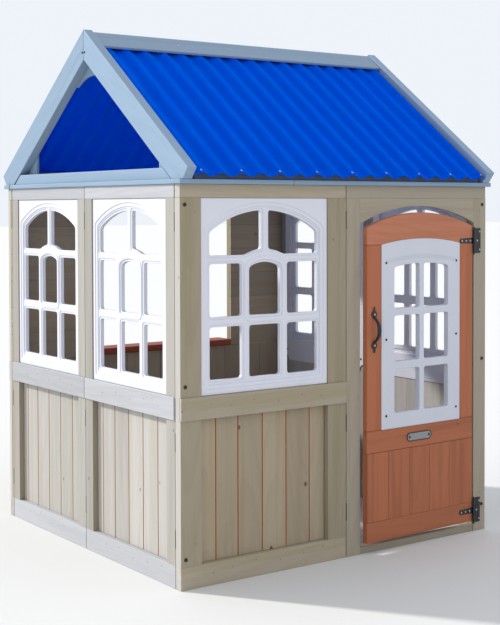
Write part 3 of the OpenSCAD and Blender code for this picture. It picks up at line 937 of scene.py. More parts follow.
@dataclass
class Fasteners:
    """Heads of one kind, placed at points by geometry nodes.

    Attributes:
        head: Kind of head.
        finish: Its finish.
        points: Each head's place and the way it faces, in the part's coordinates.
    """

    head: Head
    finish: Metal | Timber
    points: list[tuple[Vector, Vector]] = field(default_factory=list)

    def add_on(self, place: Matrix, spots: list[tuple[float, float, float]],
               facing: Vector | None = None) -> None:
        """Adds heads at wall coordinates, facing outwards unless facing says otherwise.

        Args:
            place: Matrix from wall coordinates to the part's own.
            spots: u, v and z of each head's seat.
            facing: Direction in wall coordinates; outwards when left out.
        """
        way = place.to_3x3() @ (facing or Vector((0, -1, 0)))
        self.points += [(place @ Vector(spot), way) for spot in spots]

    @staticmethod
    def node_tree() -> bpy.types.NodeTree:
        """Builds the scatter tree once.

        Returns:
            The tree, the same one each time.
        """
        if "Fastener heads" in bpy.data.node_groups:
            return bpy.data.node_groups["Fastener heads"]
        tree = bpy.data.node_groups.new("Fastener heads", "GeometryNodeTree")
        given = open_tree(tree, {"Points": "Geometry", "Head": "Object", "Seed": "Int"})
        facing = add(tree, "GeometryNodeInputNamedAttribute", {"Name": "facing"}, data_type="FLOAT_VECTOR")
        aimed = add(tree, "FunctionNodeAlignRotationToVector", {"Vector": facing.outputs[0]}, axis="Z")
        spin = add(tree, "FunctionNodeRandomValue", {2: 0.0, 3: math.pi / 2, "Seed": given["Seed"]},
                   data_type="FLOAT")
        about = add(tree, "FunctionNodeAxisAngleToRotation", {"Axis": (0, 0, 1), "Angle": spin.outputs[1]})
        turn = add(tree, "FunctionNodeRotateRotation", {0: aimed.outputs[0], 1: about.outputs[0]},
                   rotation_space="LOCAL")
        head = add(tree, "GeometryNodeObjectInfo", {"Object": given["Head"]}, transform_space="ORIGINAL")
        placed = add(tree, "GeometryNodeInstanceOnPoints",
                     {"Points": given["Points"], "Rotation": turn.outputs[0],
                      "Instance": head.outputs["Geometry"]})
        end_tree(tree, placed.outputs[0], given["Finish"])
        return tree

    def make(self, name: str, slot: str, body: Body, nodes: list[str]) -> bpy.types.Object:
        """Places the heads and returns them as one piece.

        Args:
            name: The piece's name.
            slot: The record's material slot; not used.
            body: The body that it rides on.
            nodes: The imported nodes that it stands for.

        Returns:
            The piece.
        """
        mesh = bpy.data.meshes.new(name)
        mesh.from_pydata([spot for spot, _ in self.points], [], [])
        facing = mesh.attributes.new("facing", "FLOAT_VECTOR", "POINT")
        for item, (_, way) in zip(facing.data, self.points):
            item.vector = way
        head = link_object(self.head.name, self.head.mesh())
        cloud = link_object(name, mesh)
        nodes_modifier = cloud.modifiers.new("Heads", "NODES")
        nodes_modifier.node_group = self.node_tree()
        set_inputs(nodes_modifier, {"Head": head, "Seed": len(self.points), "Finish": self.finish.material()})
        made = plain_mesh(cloud, name)
        bpy.data.objects.remove(head)
        bm = bmesh.new()
        bm.from_mesh(made)
        mark_grain(bm, name)
        bm.to_mesh(made)
        bm.free()
        return finish_piece(made, name, self.finish.material(), body, nodes, 50.0)


def refinish(piece: bpy.types.Object, finish: Timber, facing: Vector, beyond: float = -1.0e3) -> None:
    """Gives a second finish to the faces that look one way, such as bleached end faces.

    Args:
        piece: The piece.
        finish: The second finish.
        facing: The way that the faces look.
        beyond: How far along that way a face has to be.
    """
    mesh = piece.data
    mesh.materials.append(finish.material())
    for face in mesh.polygons:
        if face.normal.dot(facing) > 0.7 and face.center.dot(facing) > beyond:
            face.material_index = len(mesh.materials) - 1


# ---------------------------------------------------------------- window inserts


@dataclass
class WindowInsert:
    """A white moulded window insert with eight open lights under a double arch.

    Attributes:
        node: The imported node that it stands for.
        wall: The wall that it sits in.
        opening: Where the opening between the stiles starts and ends along the wall.
        side_bar: Width of the bar between the insert's edge and its outer lights.
        middle_share: Half width of the middle lights, as a share of the insert's.
        recess: The recess's distance from the insert's side, foot and upper arch.
        edge_w: Width of the box section round the insert's back.
        flange_screws: Heights of the flange's screws on the front wall and on the side walls.
    """

    node: str
    wall: Wall
    opening: Point
    face_v: float = 3 * MM
    step: float = 2.0 * MM
    rim: float = 5.5 * MM
    band: float = 10 * MM
    back_v: float = 18 * MM
    bar_back_v: float = 20.5 * MM
    flange_t: float = 3 * MM
    flange_w: float = 18 * MM
    flange_z: float = 412 * MM
    low: float = RAIL_TOP + 0.5 * MM
    high: float = FRAME_TOP - 0.5 * MM
    muntin: float = 23 * MM
    rows: tuple[Point, ...] = ((511 * MM, 643 * MM), (668 * MM, 801 * MM))
    head_z: float = 822 * MM
    head_arc: tuple[float, float] = (645 * MM, 290 * MM)
    light_arc: tuple[float, float] = (701 * MM, 102 * MM)
    light_border: float = 33 * MM
    corner: float = 9 * MM
    side_bar: float = 30 * MM
    middle_share: float = 0.244
    recess: tuple[float, float, float] = (12 * MM, 14 * MM, 20 * MM)
    edge_w: float = 11 * MM
    flange_screws: tuple[tuple[float, ...], ...] = ((450 * MM, 610 * MM, 790 * MM), (450 * MM, 950 * MM))

    @property
    def half(self) -> float:
        """Half the insert's width."""
        return (self.opening[1] - self.opening[0]) / 2 - 0.5 * MM

    def head_light(self, side: int, grow: float) -> Chain:
        """One upper light, between the big arch and the small one.

        Args:
            side: 1 for the light on the right, -1 for the one on the left.
            grow: How far the outline stands outside the light's clear edge.

        Returns:
            The closed outline.
        """
        big_z, big_r = self.head_arc[0], self.head_arc[1] + grow
        small_z, small_r = self.light_arc[0], self.light_arc[1] + self.light_border - grow
        inner, outer, sill = self.muntin / 2 - grow, self.half - self.side_bar + grow, self.head_z - grow
        start, end = (math.degrees(math.acos(u / big_r)) for u in (inner, outer))
        foot = math.sqrt(small_r ** 2 - (sill - small_z) ** 2)
        big = arc((0, big_z), big_r, start, end, 22)
        small = arc((0, small_z), small_r, math.degrees(math.acos(foot / small_r)),
                    math.degrees(math.acos(inner / small_r)), 8)
        chains = [[small[-1], big[0]], big, [big[-1], (outer, sill)], [(outer, sill), small[0]], small]
        outline = soften(chains, self.corner * 0.9 + grow * 0.4)
        return outline if side > 0 else [(-u, z) for u, z in outline[::-1]]

    def lights(self, grow: float = 0.0) -> list[Chain]:
        """Outlines the lights.

        Args:
            grow: How far the outlines stand outside the lights' clear edges.

        Returns:
            The closed outlines of all eight, the small arched one last.
        """
        edge = self.half - self.side_bar + grow
        middle = self.middle_share * self.half
        corner = self.corner + grow * 0.6
        made = [self.head_light(side, grow) for side in (-1, 1)]
        for z0, z1 in self.rows:
            inner = middle + self.muntin - grow
            made += [rectangle(-edge, -inner, z0 - grow, z1 + grow, corner),
                     rectangle(inner, edge, z0 - grow, z1 + grow, corner)]
        low, high = self.rows
        made.append(rectangle(-middle - grow, middle + grow, low[0] - grow, low[1] + grow, corner))
        made.append(arched(middle + grow, high[0] - grow, self.light_arc[0], self.light_arc[1] + grow,
                           corner))
        return made

    def arch_outline(self, inset: float) -> Chain:
        """Outline of the arched recess, stepped in by inset."""
        side, foot, head = self.recess
        return arched(self.half - side - inset, self.low + foot + inset, self.head_arc[0],
                      self.head_arc[1] + head - inset, 7 * MM)

    def flange(self) -> Chain:
        """Outlines the fixing flange inside the room.

        Returns:
            The closed outline, with scooped lower corners.
        """
        wide, top, scoop = self.half + self.flange_w, self.high + self.flange_w, 20 * MM
        left = arc((-wide, self.flange_z), scoop, 90, 0, 8)
        right = arc((wide, self.flange_z), scoop, 180, 90, 8)
        return soften([left, [left[-1], right[0]], right, [right[-1], (wide, top)],
                       [(wide, top), (-wide, top)], [(-wide, top), left[0]]], 3 * MM)

    def build(self) -> list[bpy.types.Object]:
        """Moulds the insert and its fixing bolts.

        Returns:
            The insert and its bolts.
        """
        place = self.wall.matrix() @ Matrix.Translation((sum(self.opening) / 2, 0, 0))
        name, half, low, high = self.node, self.half, self.low, self.high
        frame_edge = rectangle(-half, half, low, high, 2 * MM)
        inner = half - self.edge_w
        hollow = rectangle(-inner, inner, low + self.edge_w, high - self.edge_w, 6 * MM)
        steps = [self.face_v + i * self.step for i in range(4)]
        lap = 0.6 * MM
        rims = self.lights(self.rim)
        parts = [
            plate(name, [frame_edge, self.arch_outline(0)], (steps[0], self.back_v), 1.2 * MM, place),
            plate(name, [self.arch_outline(-lap), self.arch_outline(self.band)],
                  (steps[1], self.back_v - lap), 1.2 * MM, place),
            plate(name, [self.arch_outline(self.band - lap)] + rims, (steps[2], self.bar_back_v), 1.3 * MM,
                  place),
            plate(name, [self.lights(self.rim + 10 * MM)[-1], self.lights(self.rim + 1 * MM)[-1]],
                  (steps[2] - 1.6 * MM, steps[2] + 1 * MM), 1.2 * MM, place),
            plate(name, [frame_edge, hollow], (self.back_v - 1 * MM, WALL_T + 1 * MM), 0.4 * MM, place),
            plate(name, [self.flange(), hollow], (WALL_T, WALL_T + self.flange_t), 0.8 * MM, place)]
        for outer, inner in zip(self.lights(self.rim + lap), self.lights()):
            parts.append(plate(name, [outer, inner], (steps[3], self.bar_back_v - lap), 0.9 * MM, place))
        piece = finish_piece(join_meshes(name, parts), name + "_insert",
                             WINDOW_WHITE.material(), Body.HOUSE, [name])
        bolts = Fasteners(Head.DARK_SCREW, BLACK_IRON)
        heights = self.flange_screws[0 if self.wall is Wall.FRONT else 1]
        spots = [(side * (half + 6 * MM), WALL_T + self.flange_t, z) for side in (-1, 1) for z in heights]
        bolts.add_on(place, spots, Vector((0, 1, 0)))
        return [piece, bolts.make(name + "_bolts", "black_iron", Body.HOUSE, [])]


# ---------------------------------------------------------------- walls


def cut_boards(ends: Point, first: float, pitch: float, z: Point, gap: float = 0.8 * MM) -> list[tuple]:
    """Shares a width out into upright boards.

    Args:
        ends: Where the first board starts and the last one ends.
        first: Where the first joint is.
        pitch: Spacing of the joints.
        z: The boards' lower and upper ends.
        gap: Width of each joint.

    Returns:
        Low and high u and low and high z of each board.
    """
    cuts = [ends[0]]
    while first < ends[1] - 12 * MM:
        cuts.append(first)
        first += pitch
    cuts.append(ends[1])
    return [(a + gap / 2, b - gap / 2, *z) for a, b in zip(cuts, cuts[1:])]


@dataclass
class WallPanel:
    """One framed panel: stiles, rails and chamfered boards, with an insert where it has one.

    Attributes:
        name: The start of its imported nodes' names.
        wall: The wall that it stands in.
        ends: Where it starts and ends along the wall.
        stile: Width of its stiles.
        first: How far the first joint is from the start of the boards.
        rails: Finish of its rails.
        frame: Finish of its stiles.
        board: Finish of its boards.
        cuts: Where its joints are, if they aren't evenly spaced.
    """

    name: str
    wall: Wall
    ends: Point
    stile: float
    first: float
    rails: Timber = RAIL_STAIN
    frame: Timber = FRAME_STAIN
    board: Timber = BOARD_STAIN
    cuts: tuple[float, ...] = ()
    pitch: float = 73.5 * MM
    joinery: Joinery = field(default_factory=Joinery)

    def boards(self) -> list[tuple]:
        """Shares the opening below the middle rail out into boards.

        Returns:
            Low and high u and low and high z of each board.
        """
        clear = (self.ends[0] + self.stile + 0.4 * MM, self.ends[1] - self.stile - 0.4 * MM)
        if self.cuts:
            marks, half = (clear[0], *self.cuts, clear[1]), 0.4 * MM
            return [(a + half, b - half, BOTTOM_RAIL, RAIL_TOP - 0.5 * MM)
                    for a, b in zip(marks, marks[1:])]
        return cut_boards(clear, clear[0] + self.first, self.pitch, (BOTTOM_RAIL, RAIL_TOP - 0.5 * MM))

    def tongues(self, blanks: list[tuple], level: bool = False) -> bpy.types.Mesh:
        """Makes the unstained tongues that show in the joints between boards.

        Args:
            blanks: The boards' blanks.
            level: Whether the boards lie level.

        Returns:
            The tongues as one mesh.
        """
        reach, back = 1.2 * MM, WALL_T - 3 * MM
        strips = []
        for (u0, u1, z0, z1), after in zip(blanks, blanks[1:]):
            if level:
                strips.append((u0, u1, z1 - reach, after[2] + reach))
            else:
                strips.append((u1 - reach, after[0] + reach, z0, z1))
        run = BoardRun(2 * MM, 0.2 * MM)
        return run.make(self.name + "_tongue", strips, self.wall.matrix(), TONGUE, back_v=back)

    def nails(self) -> None:
        """Nail heads along the middle and bottom rails."""
        heads = Fasteners(Head.NAIL, NAIL_STEEL)
        for index, (u0, u1, *_) in enumerate(self.boards()):
            middle = (u0 + u1) / 2
            if u1 - u0 > 30 * MM:
                heads.add_on(self.wall.matrix(), [
                    (middle, -RAIL_PROUD, RAIL_TOP - (20 + 9 * (index % 2)) * MM),
                    (middle + 8 * MM, 0, (30 + 7 * (index % 3)) * MM)])
        heads.make(self.name + "_nails", "zinc_steel", Body.HOUSE, [])

    def build(self) -> None:
        """Builds every piece of the panel."""
        stiles = self.joinery.make(self.name + "_stiles", "frame_timber", self.frame)
        rails = self.joinery.make(self.name + "_rails", "frame_timber", self.rails)
        for side in (-1.0, 1.0):
            if self.wall in (Wall.FRONT, Wall.BACK):
                for piece in (stiles, rails):
                    refinish(piece, PALE_BOARD, Vector((side, 0, 0)), HOUSE_L / 2 - 2 * MM)
            else:
                refinish(stiles, FRAME_STAIN, Vector((0, side, 0)))
        blanks = self.boards()
        boards = BoardRun().make(self.name + "_board", blanks, self.wall.matrix(), self.board)
        finish_piece(boards, self.name + "_boards_run", self.board.material(), Body.HOUSE,
                     [self.name + "_boards"], 50.0)
        finish_piece(self.tongues(blanks), self.name + "_tongues", TONGUE.material(),
                     Body.HOUSE, [])
        self.nails()


@dataclass
class RearPanel(WallPanel):
    """Half of the rear wall: upright boards below and level boards beside the hatch.

    Attributes:
        beside: Where the level boards start and end along the wall.
        level_count: Number of level boards.
    """

    beside: Point = (0.0, 0.0)
    level_count: int = 6

    def boards(self) -> list[tuple]:
        """The upright boards below the middle rail, which run behind the stiles."""
        rise = (BOTTOM_RAIL, RAIL_TOP - 1 * MM)
        return cut_boards(self.ends, self.ends[0] + self.first, self.pitch, rise)

    def build(self) -> None:
        """Builds every piece of the panel, and the level boards with it."""
        super().build()
        pitch = (FRAME_TOP - RAIL_TOP) / self.level_count
        gap = 0.4 * MM
        blanks = [(*self.beside, RAIL_TOP + i * pitch + gap, RAIL_TOP + (i + 1) * pitch - gap)
                  for i in range(self.level_count)]
        boards = BoardRun().make(self.name + "_level", blanks, self.wall.matrix(), BOARD_STAIN, level=True)
        finish_piece(boards, self.name + "_level_boards", BOARD_STAIN.material(),
                     Body.HOUSE, [], 50.0)
        finish_piece(self.tongues(blanks, level=True), self.name + "_level_tongues",
                     TONGUE.material(), Body.HOUSE, [])


# ---------------------------------------------------------------- door


@dataclass
class DoorLeaf:
    """The arched leaf with its boards, moulded insert, pull handle and nameplate.

    Attributes:
        left: The closed leaf's free edge.
        right: Its edge beside the hinges.
        thickness: The leaf's thickness.
        mid_z: The middle rail's lower and upper edges.
        low_z: The bottom rail's upper edge.
        window_u: Middle of the insert.
        window_arc: Centre height and radius of the insert's top.
        light_arc: The same for the upper lights.
        brow_radii: Radii of the two beads above the lights.
        brow_span: Angles between which they run.
        screw_u: How far the insert's screws are from its middle.
        screw_rows: The screws' heights.
    """

    left: float = 584 * MM
    right: float = 1000 * MM
    thickness: float = 18 * MM
    mid_z: Point = (274 * MM, 335 * MM)
    low_z: float = 87 * MM
    board_pitch: float = 80 * MM
    window_u: float = 790 * MM
    window_half: float = 154 * MM
    window_arc: tuple[float, float] = (57 * MM, 798 * MM)
    light_half: float = 106 * MM
    light_arc: tuple[float, float] = (167 * MM, 620 * MM)
    bar: float = 8.5 * MM
    rows: tuple[Point, ...] = ((377 * MM, 497 * MM), (519 * MM, 645 * MM))
    head_z: float = 665 * MM
    brow_radii: tuple[float, float] = (637 * MM, 643 * MM)
    brow_span: tuple[float, float] = (77.6, 102.4)
    screw_u: float = 138 * MM
    screw_rows: tuple[float, ...] = (372 * MM, 581 * MM, 790 * MM)
    handle_at: Point = (609 * MM, 610 * MM)
    plate_at: Point = (782 * MM, 304 * MM)

    def lights(self) -> list[Chain]:
        """Outlines the lights.

        Returns:
            The closed outlines of all six.
        """
        made = []
        for side in (-1, 1):
            for z0, z1 in self.rows:
                near, far = sorted((side * self.bar, side * self.light_half))
                made.append(rectangle(near, far, z0, z1, 9 * MM))
            centre, radius = self.light_arc
            start, end = (math.degrees(math.acos(u / radius)) for u in (self.bar, self.light_half))
            top = arc((0, centre), radius, start, end, 12)
            near, far = (self.bar, self.head_z), (self.light_half, self.head_z)
            outline = soften([[near, top[0]], top, [top[-1], far], [far, near]], 9 * MM)
            made.append(outline if side > 0 else [(-u, z) for u, z in outline[::-1]])
        return made

    def brow(self, radius: float) -> Chain:
        """Outlines a thin arched bead above the lights.

        Args:
            radius: The arch's radius.

        Returns:
            The closed outline.
        """
        width = 1.1 * MM
        start, end = self.brow_span
        outer = arc((0, self.light_arc[0]), radius + width, start, end, 28)
        inner = arc((0, self.light_arc[0]), radius - width, end, start, 28)
        return outer + inner

    def insert(self, place: Matrix) -> None:
        """Moulds the insert, its lip and its beads, and screws it on.

        Args:
            place: Matrix from the leaf's coordinates to the part's.
        """
        middle = place @ Matrix.Translation((self.window_u, 0, 0))
        centre, radius = self.window_arc
        low = self.mid_z[1]
        inset = 5 * MM
        name = "door_window"
        half = self.window_half
        face = arched(half - inset, low + 1 * MM, centre, radius - inset - 1 * MM, 3 * MM)
        lip = [arched(half, low, centre, radius, 3 * MM),
               arched(half - inset - 3 * MM, low + 4 * MM, centre, radius - inset - 4 * MM, 3 * MM)]
        parts = [plate(name, [face] + self.lights(), (-3 * MM, self.thickness - 4 * MM), 1.5 * MM, middle),
                 plate(name, lip, (-2.4 * MM, 0.2 * MM), 1.1 * MM, middle)]
        for brow in self.brow_radii:
            parts.append(plate(name, [self.brow(brow)], (-4.4 * MM, -2.2 * MM), 0.7 * MM, middle, 1))
        finish_piece(join_meshes(name, parts), "door_window_insert", DOOR_WHITE.material(),
                     Body.DOOR, [name])
        screws = Fasteners(Head.DARK_SCREW, BLACK_IRON)
        screws.add_on(middle, [(side * self.screw_u, -3 * MM, z)
                               for side in (-1, 1) for z in self.screw_rows])
        screws.make("door_insert_screws", "black_iron", Body.DOOR, ["door_screws"])

    def handle(self, place: Matrix) -> None:
        """Forges the pull: two spear-ended roses and a bowed grip that swells at its middle.

        Args:
            place: Matrix from the leaf's coordinates to the part's.
        """
        at = place @ Matrix.Translation((self.handle_at[0], 0, self.handle_at[1]))
        half, rose, spear = 42 * MM, 10 * MM, 18.5 * MM
        ball_r = 2.4 * MM
        parts = []
        for side in (-1, 1):
            ring = arc((0, side * half), rose, side * 120, side * 420, 24)
            tip = (0.0, side * (half + spear))
            bulge = (side * 2.6 * MM, side * (half + spear * 0.72))
            outline = soften([ring, [ring[-1], bulge], [bulge, tip], [tip, (-bulge[0], bulge[1])],
                              [(-bulge[0], bulge[1]), ring[0]]], 1.2 * MM)
            parts.append(plate("rose", [outline], (-3 * MM, 0), 1.1 * MM, at))
            ball = at @ Matrix.Translation((0, -2.2 * MM, tip[1] - side * 0.5 * MM))
            profile = [(ball_r * math.sin(math.pi * i / 8), -ball_r * math.cos(math.pi * i / 8))
                       for i in range(9)]
            profile[0], profile[-1] = (0, profile[0][1]), (0, profile[-1][1])
            parts.append(turned("ball", profile, ball, 12))
        parts.append(self.grip(at, half - 7 * MM))
        finish_piece(join_meshes("door_handle", parts), "door_pull", BLACK_IRON.material(),
                     Body.DOOR, ["door_handle"])
        screws = Fasteners(Head.CROSS_SCREW, ZINC)
        screws.add_on(at, [(0, -3 * MM, side * half) for side in (-1, 1)])
        screws.make("door_pull_screws", "zinc_steel", Body.DOOR, [])

    def grip(self, at: Matrix, reach: float, steps: int = 28, sides: int = 14) -> bpy.types.Mesh:
        """The bowed grip, as rings swept along its bow.

        Args:
            at: Matrix from the handle's own coordinates to the part's.
            reach: Half the distance between its ends.
            steps: Rings along it.
            sides: Points round it.

        Returns:
            A closed mesh.
        """
        def path(s: float) -> Vector:
            """The middle line, with s from -1 to 1."""
            return Vector((0, -1.5 * MM - 20.5 * MM * (1 - abs(s) ** 2.3), reach * s))

        bm = bmesh.new()
        rings = []
        for i in range(steps + 1):
            s = 2 * i / steps - 1
            ahead = (path(min(1, s + 0.02)) - path(max(-1, s - 0.02))).normalized()
            across = Vector((1, 0, 0))
            out = ahead.cross(across)
            swell = (2.8 + 2.6 * (1 - s * s) + 1.6 * max(0.0, abs(s) - 0.85) / 0.15) * MM
            wide, deep = across * swell * 1.15, out * swell * 0.9
            rings.append([bm.verts.new(path(s) + wide * math.cos(a) + deep * math.sin(a))
                          for a in (math.tau * k / sides for k in range(sides))])
        for low, high in zip(rings, rings[1:]):
            for k in range(sides):
                bm.faces.new((low[k], low[(k + 1) % sides], high[(k + 1) % sides], high[k]))
        bm.faces.new(rings[0])
        bm.faces.new(rings[-1][::-1])
        bmesh.ops.transform(bm, matrix=at, verts=bm.verts)
        bmesh.ops.recalc_face_normals(bm, faces=bm.faces)
        mesh = bpy.data.meshes.new("grip")
        bm.to_mesh(mesh)
        bm.free()
        return mesh

    def nameplate(self, place: Matrix) -> None:
        """Casts the blank plate, its raised black border and its two pins.

        Args:
            place: Matrix from the leaf's coordinates to the part's.
        """
        at = place @ Matrix.Translation((self.plate_at[0], 0, self.plate_at[1]))

        def oval(inset: float) -> Chain:
            """The plate's outline, stepped in."""
            half, radius = 36 * MM, 12 * MM - inset
            return arc((half, 0), radius, -90, 90, 12) + arc((-half, 0), radius, 90, 270, 12)

        base = plate("plate", [oval(1.2 * MM)], (-1.6 * MM, 0), 0.5 * MM, at)
        finish_piece(base, "nameplate_blank", PEWTER.material(), Body.DOOR,
                     ["door_nameplate"])
        border = plate("border", [oval(0), oval(2.2 * MM)], (-2.6 * MM, 0), 0.7 * MM, at)
        finish_piece(border, "nameplate_border", BLACK_IRON.material(), Body.DOOR, [])
        pins = Fasteners(Head.PLUG, BLACK_IRON)
        pins.add_on(at, [(side * 38 * MM, -1.6 * MM, 0) for side in (-1, 1)])
        pins.make("nameplate_pins", "black_iron", Body.DOOR, [])

    def build(self) -> None:
        """Builds every piece that swings with the leaf, apart from the hinges."""
        place = door_matrix()
        joinery = Joinery(2.0 * MM, 3)
        joinery.make("door_top_rail", "door_timber", DOOR_RAIL_STAIN, Body.DOOR)
        for node in ("door_stiles", "door_mid_rail", "door_bottom_rail"):
            joinery.make(node, "door_timber", DOOR_STAIN, Body.DOOR)
        cuts = [self.left + i * self.board_pitch for i in range(5)] + [self.right]
        gap = 0.15 * MM
        blanks = [(a + gap, b - gap, self.low_z, self.mid_z[0]) for a, b in zip(cuts, cuts[1:])]
        boards = BoardRun(self.thickness, 0.45 * MM).make("door_board", blanks, place, DOOR_STAIN,
                                                         back_v=self.thickness)
        finish_piece(boards, "door_boards_run", DOOR_STAIN.material(), Body.DOOR,
                     ["door_boards"], 50.0)
        self.insert(place)
        self.handle(place)
        self.nameplate(place)


@dataclass
class Hinges:
    """Two black T hinges: a plate on the jamb, a strap on the leaf, knuckles and a pin.

    Attributes:
        heights: Height of each hinge's middle.
        leaf: Thickness of the plates.
        knuckle: Radius of the knuckles.
        pin: Radius of the pins.
        strap_reach: How far the straps' round ends are from the pins.
        strap_ends: Half the straps' height beside the knuckle and at the tip.
        turns: Lower and upper end of each knuckle; the middle one turns with the strap.
        plate_reach: How far the plates reach from the pins.
        plate_holes: The screws' places in the plates.
        strap_holes: The screws' places in the straps.
    """

    heights: tuple[float, float] = (62 * MM, 845 * MM)
    leaf: float = 1.8 * MM
    knuckle: float = 3.6 * MM
    pin: float = 2.2 * MM
    strap_reach: float = 50 * MM
    strap_ends: Point = (8.5 * MM, 6.6 * MM)
    turns: tuple[Point, ...] = ((-36 * MM, -11.5 * MM), (-11 * MM, 11 * MM), (11.5 * MM, 36 * MM))
    plate_reach: float = 28.5 * MM
    plate_holes: tuple[Point, ...] = ((23.5 * MM, 26 * MM), (13.5 * MM, 0), (23.5 * MM, -26 * MM))
    strap_holes: tuple[float, ...] = (15 * MM, 32 * MM, 49 * MM)

    def barrel(self, at: Matrix, z: Point) -> bpy.types.Mesh:
        """Turns one knuckle with eased rims.

        Args:
            at: Matrix that stands it on its axis.
            z: Its lower and upper ends.

        Returns:
            A closed mesh.
        """
        r, ease = self.knuckle, 0.4 * MM
        profile = [(0, z[0]), (r - ease, z[0]), (r, z[0] + ease), (r, z[1] - ease), (r - ease, z[1]),
                   (0, z[1])]
        return turned("knuckle", profile, at, 24)

    def build(self) -> None:
        """Builds both hinges."""
        pos = frame["joints"][0]["pos_m"]
        axis_u, axis_v = pos[0] + HOUSE_L / 2, pos[1] + HOUSE_W / 2
        plates, straps, pins = [], [], []
        plate_screws = Fasteners(Head.CROSS_SCREW, ZINC)
        strap_screws = Fasteners(Head.CROSS_SCREW, ZINC)
        for height in self.heights:
            fixed = HOUSE @ Matrix.Translation((axis_u, 0, height))
            swung = door_matrix() @ Matrix.Translation((axis_u, 0, height))
            near, far = self.knuckle + 0.8 * MM, self.plate_reach
            tall = self.turns[-1][1]
            plates.append(plate("leaf", [rectangle(near, far, -tall, tall, 2.5 * MM)], (-self.leaf, 0),
                                0.45 * MM, fixed))
            half, tip = self.strap_ends
            end = arc((-self.strap_reach, 0), tip, 95, 265, 12)
            root = -self.knuckle - 0.6 * MM
            outline = soften([[(root, -half), (root, half)], [(root, half), end[0]], end,
                              [end[-1], (root, -half)]], 1.5 * MM)
            straps.append(plate("strap", [outline], (-self.leaf, 0), 0.45 * MM, swung))
            for index, z in enumerate(self.turns):
                moving = index == 1
                at = (swung if moving else fixed) @ Matrix.Translation((0, axis_v, 0))
                (straps if moving else plates).append(self.barrel(at, z))
                wrap = (-self.knuckle - 1.2 * MM, 0) if moving else (0, near + 0.6 * MM)
                low, high = (z[0], z[1]) if not moving else (-half, half)
                (straps if moving else plates).append(
                    plate("wrap", [rectangle(*wrap, low + 0.3 * MM, high - 0.3 * MM, 0.3 * MM)],
                          (-self.leaf, -0.5 * MM), 0.3 * MM, swung if moving else fixed, 1))
            at = fixed @ Matrix.Translation((0, axis_v, 0))
            r, top = self.pin, 38.6 * MM
            pins.append(turned("pin", [(0, -top - 1 * MM), (r * 0.7, -top - 0.6 * MM), (r, -top), (r, top),
                                       (r * 0.7, top + 0.6 * MM), (0, top + 1 * MM)], at, 18))
            plate_screws.add_on(fixed, [(u, -self.leaf, z) for u, z in self.plate_holes])
            strap_screws.add_on(swung, [(-u, -self.leaf, 0) for u in self.strap_holes])
        finish_piece(join_meshes("plates", plates), "hinge_jamb_plates", BLACK_IRON.material(),
                     Body.HOUSE, ["hinge_plates"])
        finish_piece(join_meshes("straps", straps), "hinge_leaf_straps", BLACK_IRON.material(),
                     Body.DOOR, ["hinge_straps"])
        finish_piece(join_meshes("pins", pins), "hinge_pin_rods", BLACK_IRON.material(),
                     Body.HOUSE, ["hinge_pins"])
        plate_screws.make("hinge_jamb_screws", "zinc_steel", Body.HOUSE, ["hinge_screws"])
        strap_screws.make("hinge_strap_screws", "zinc_steel", Body.DOOR, [])


# ---------------------------------------------------------------- roof


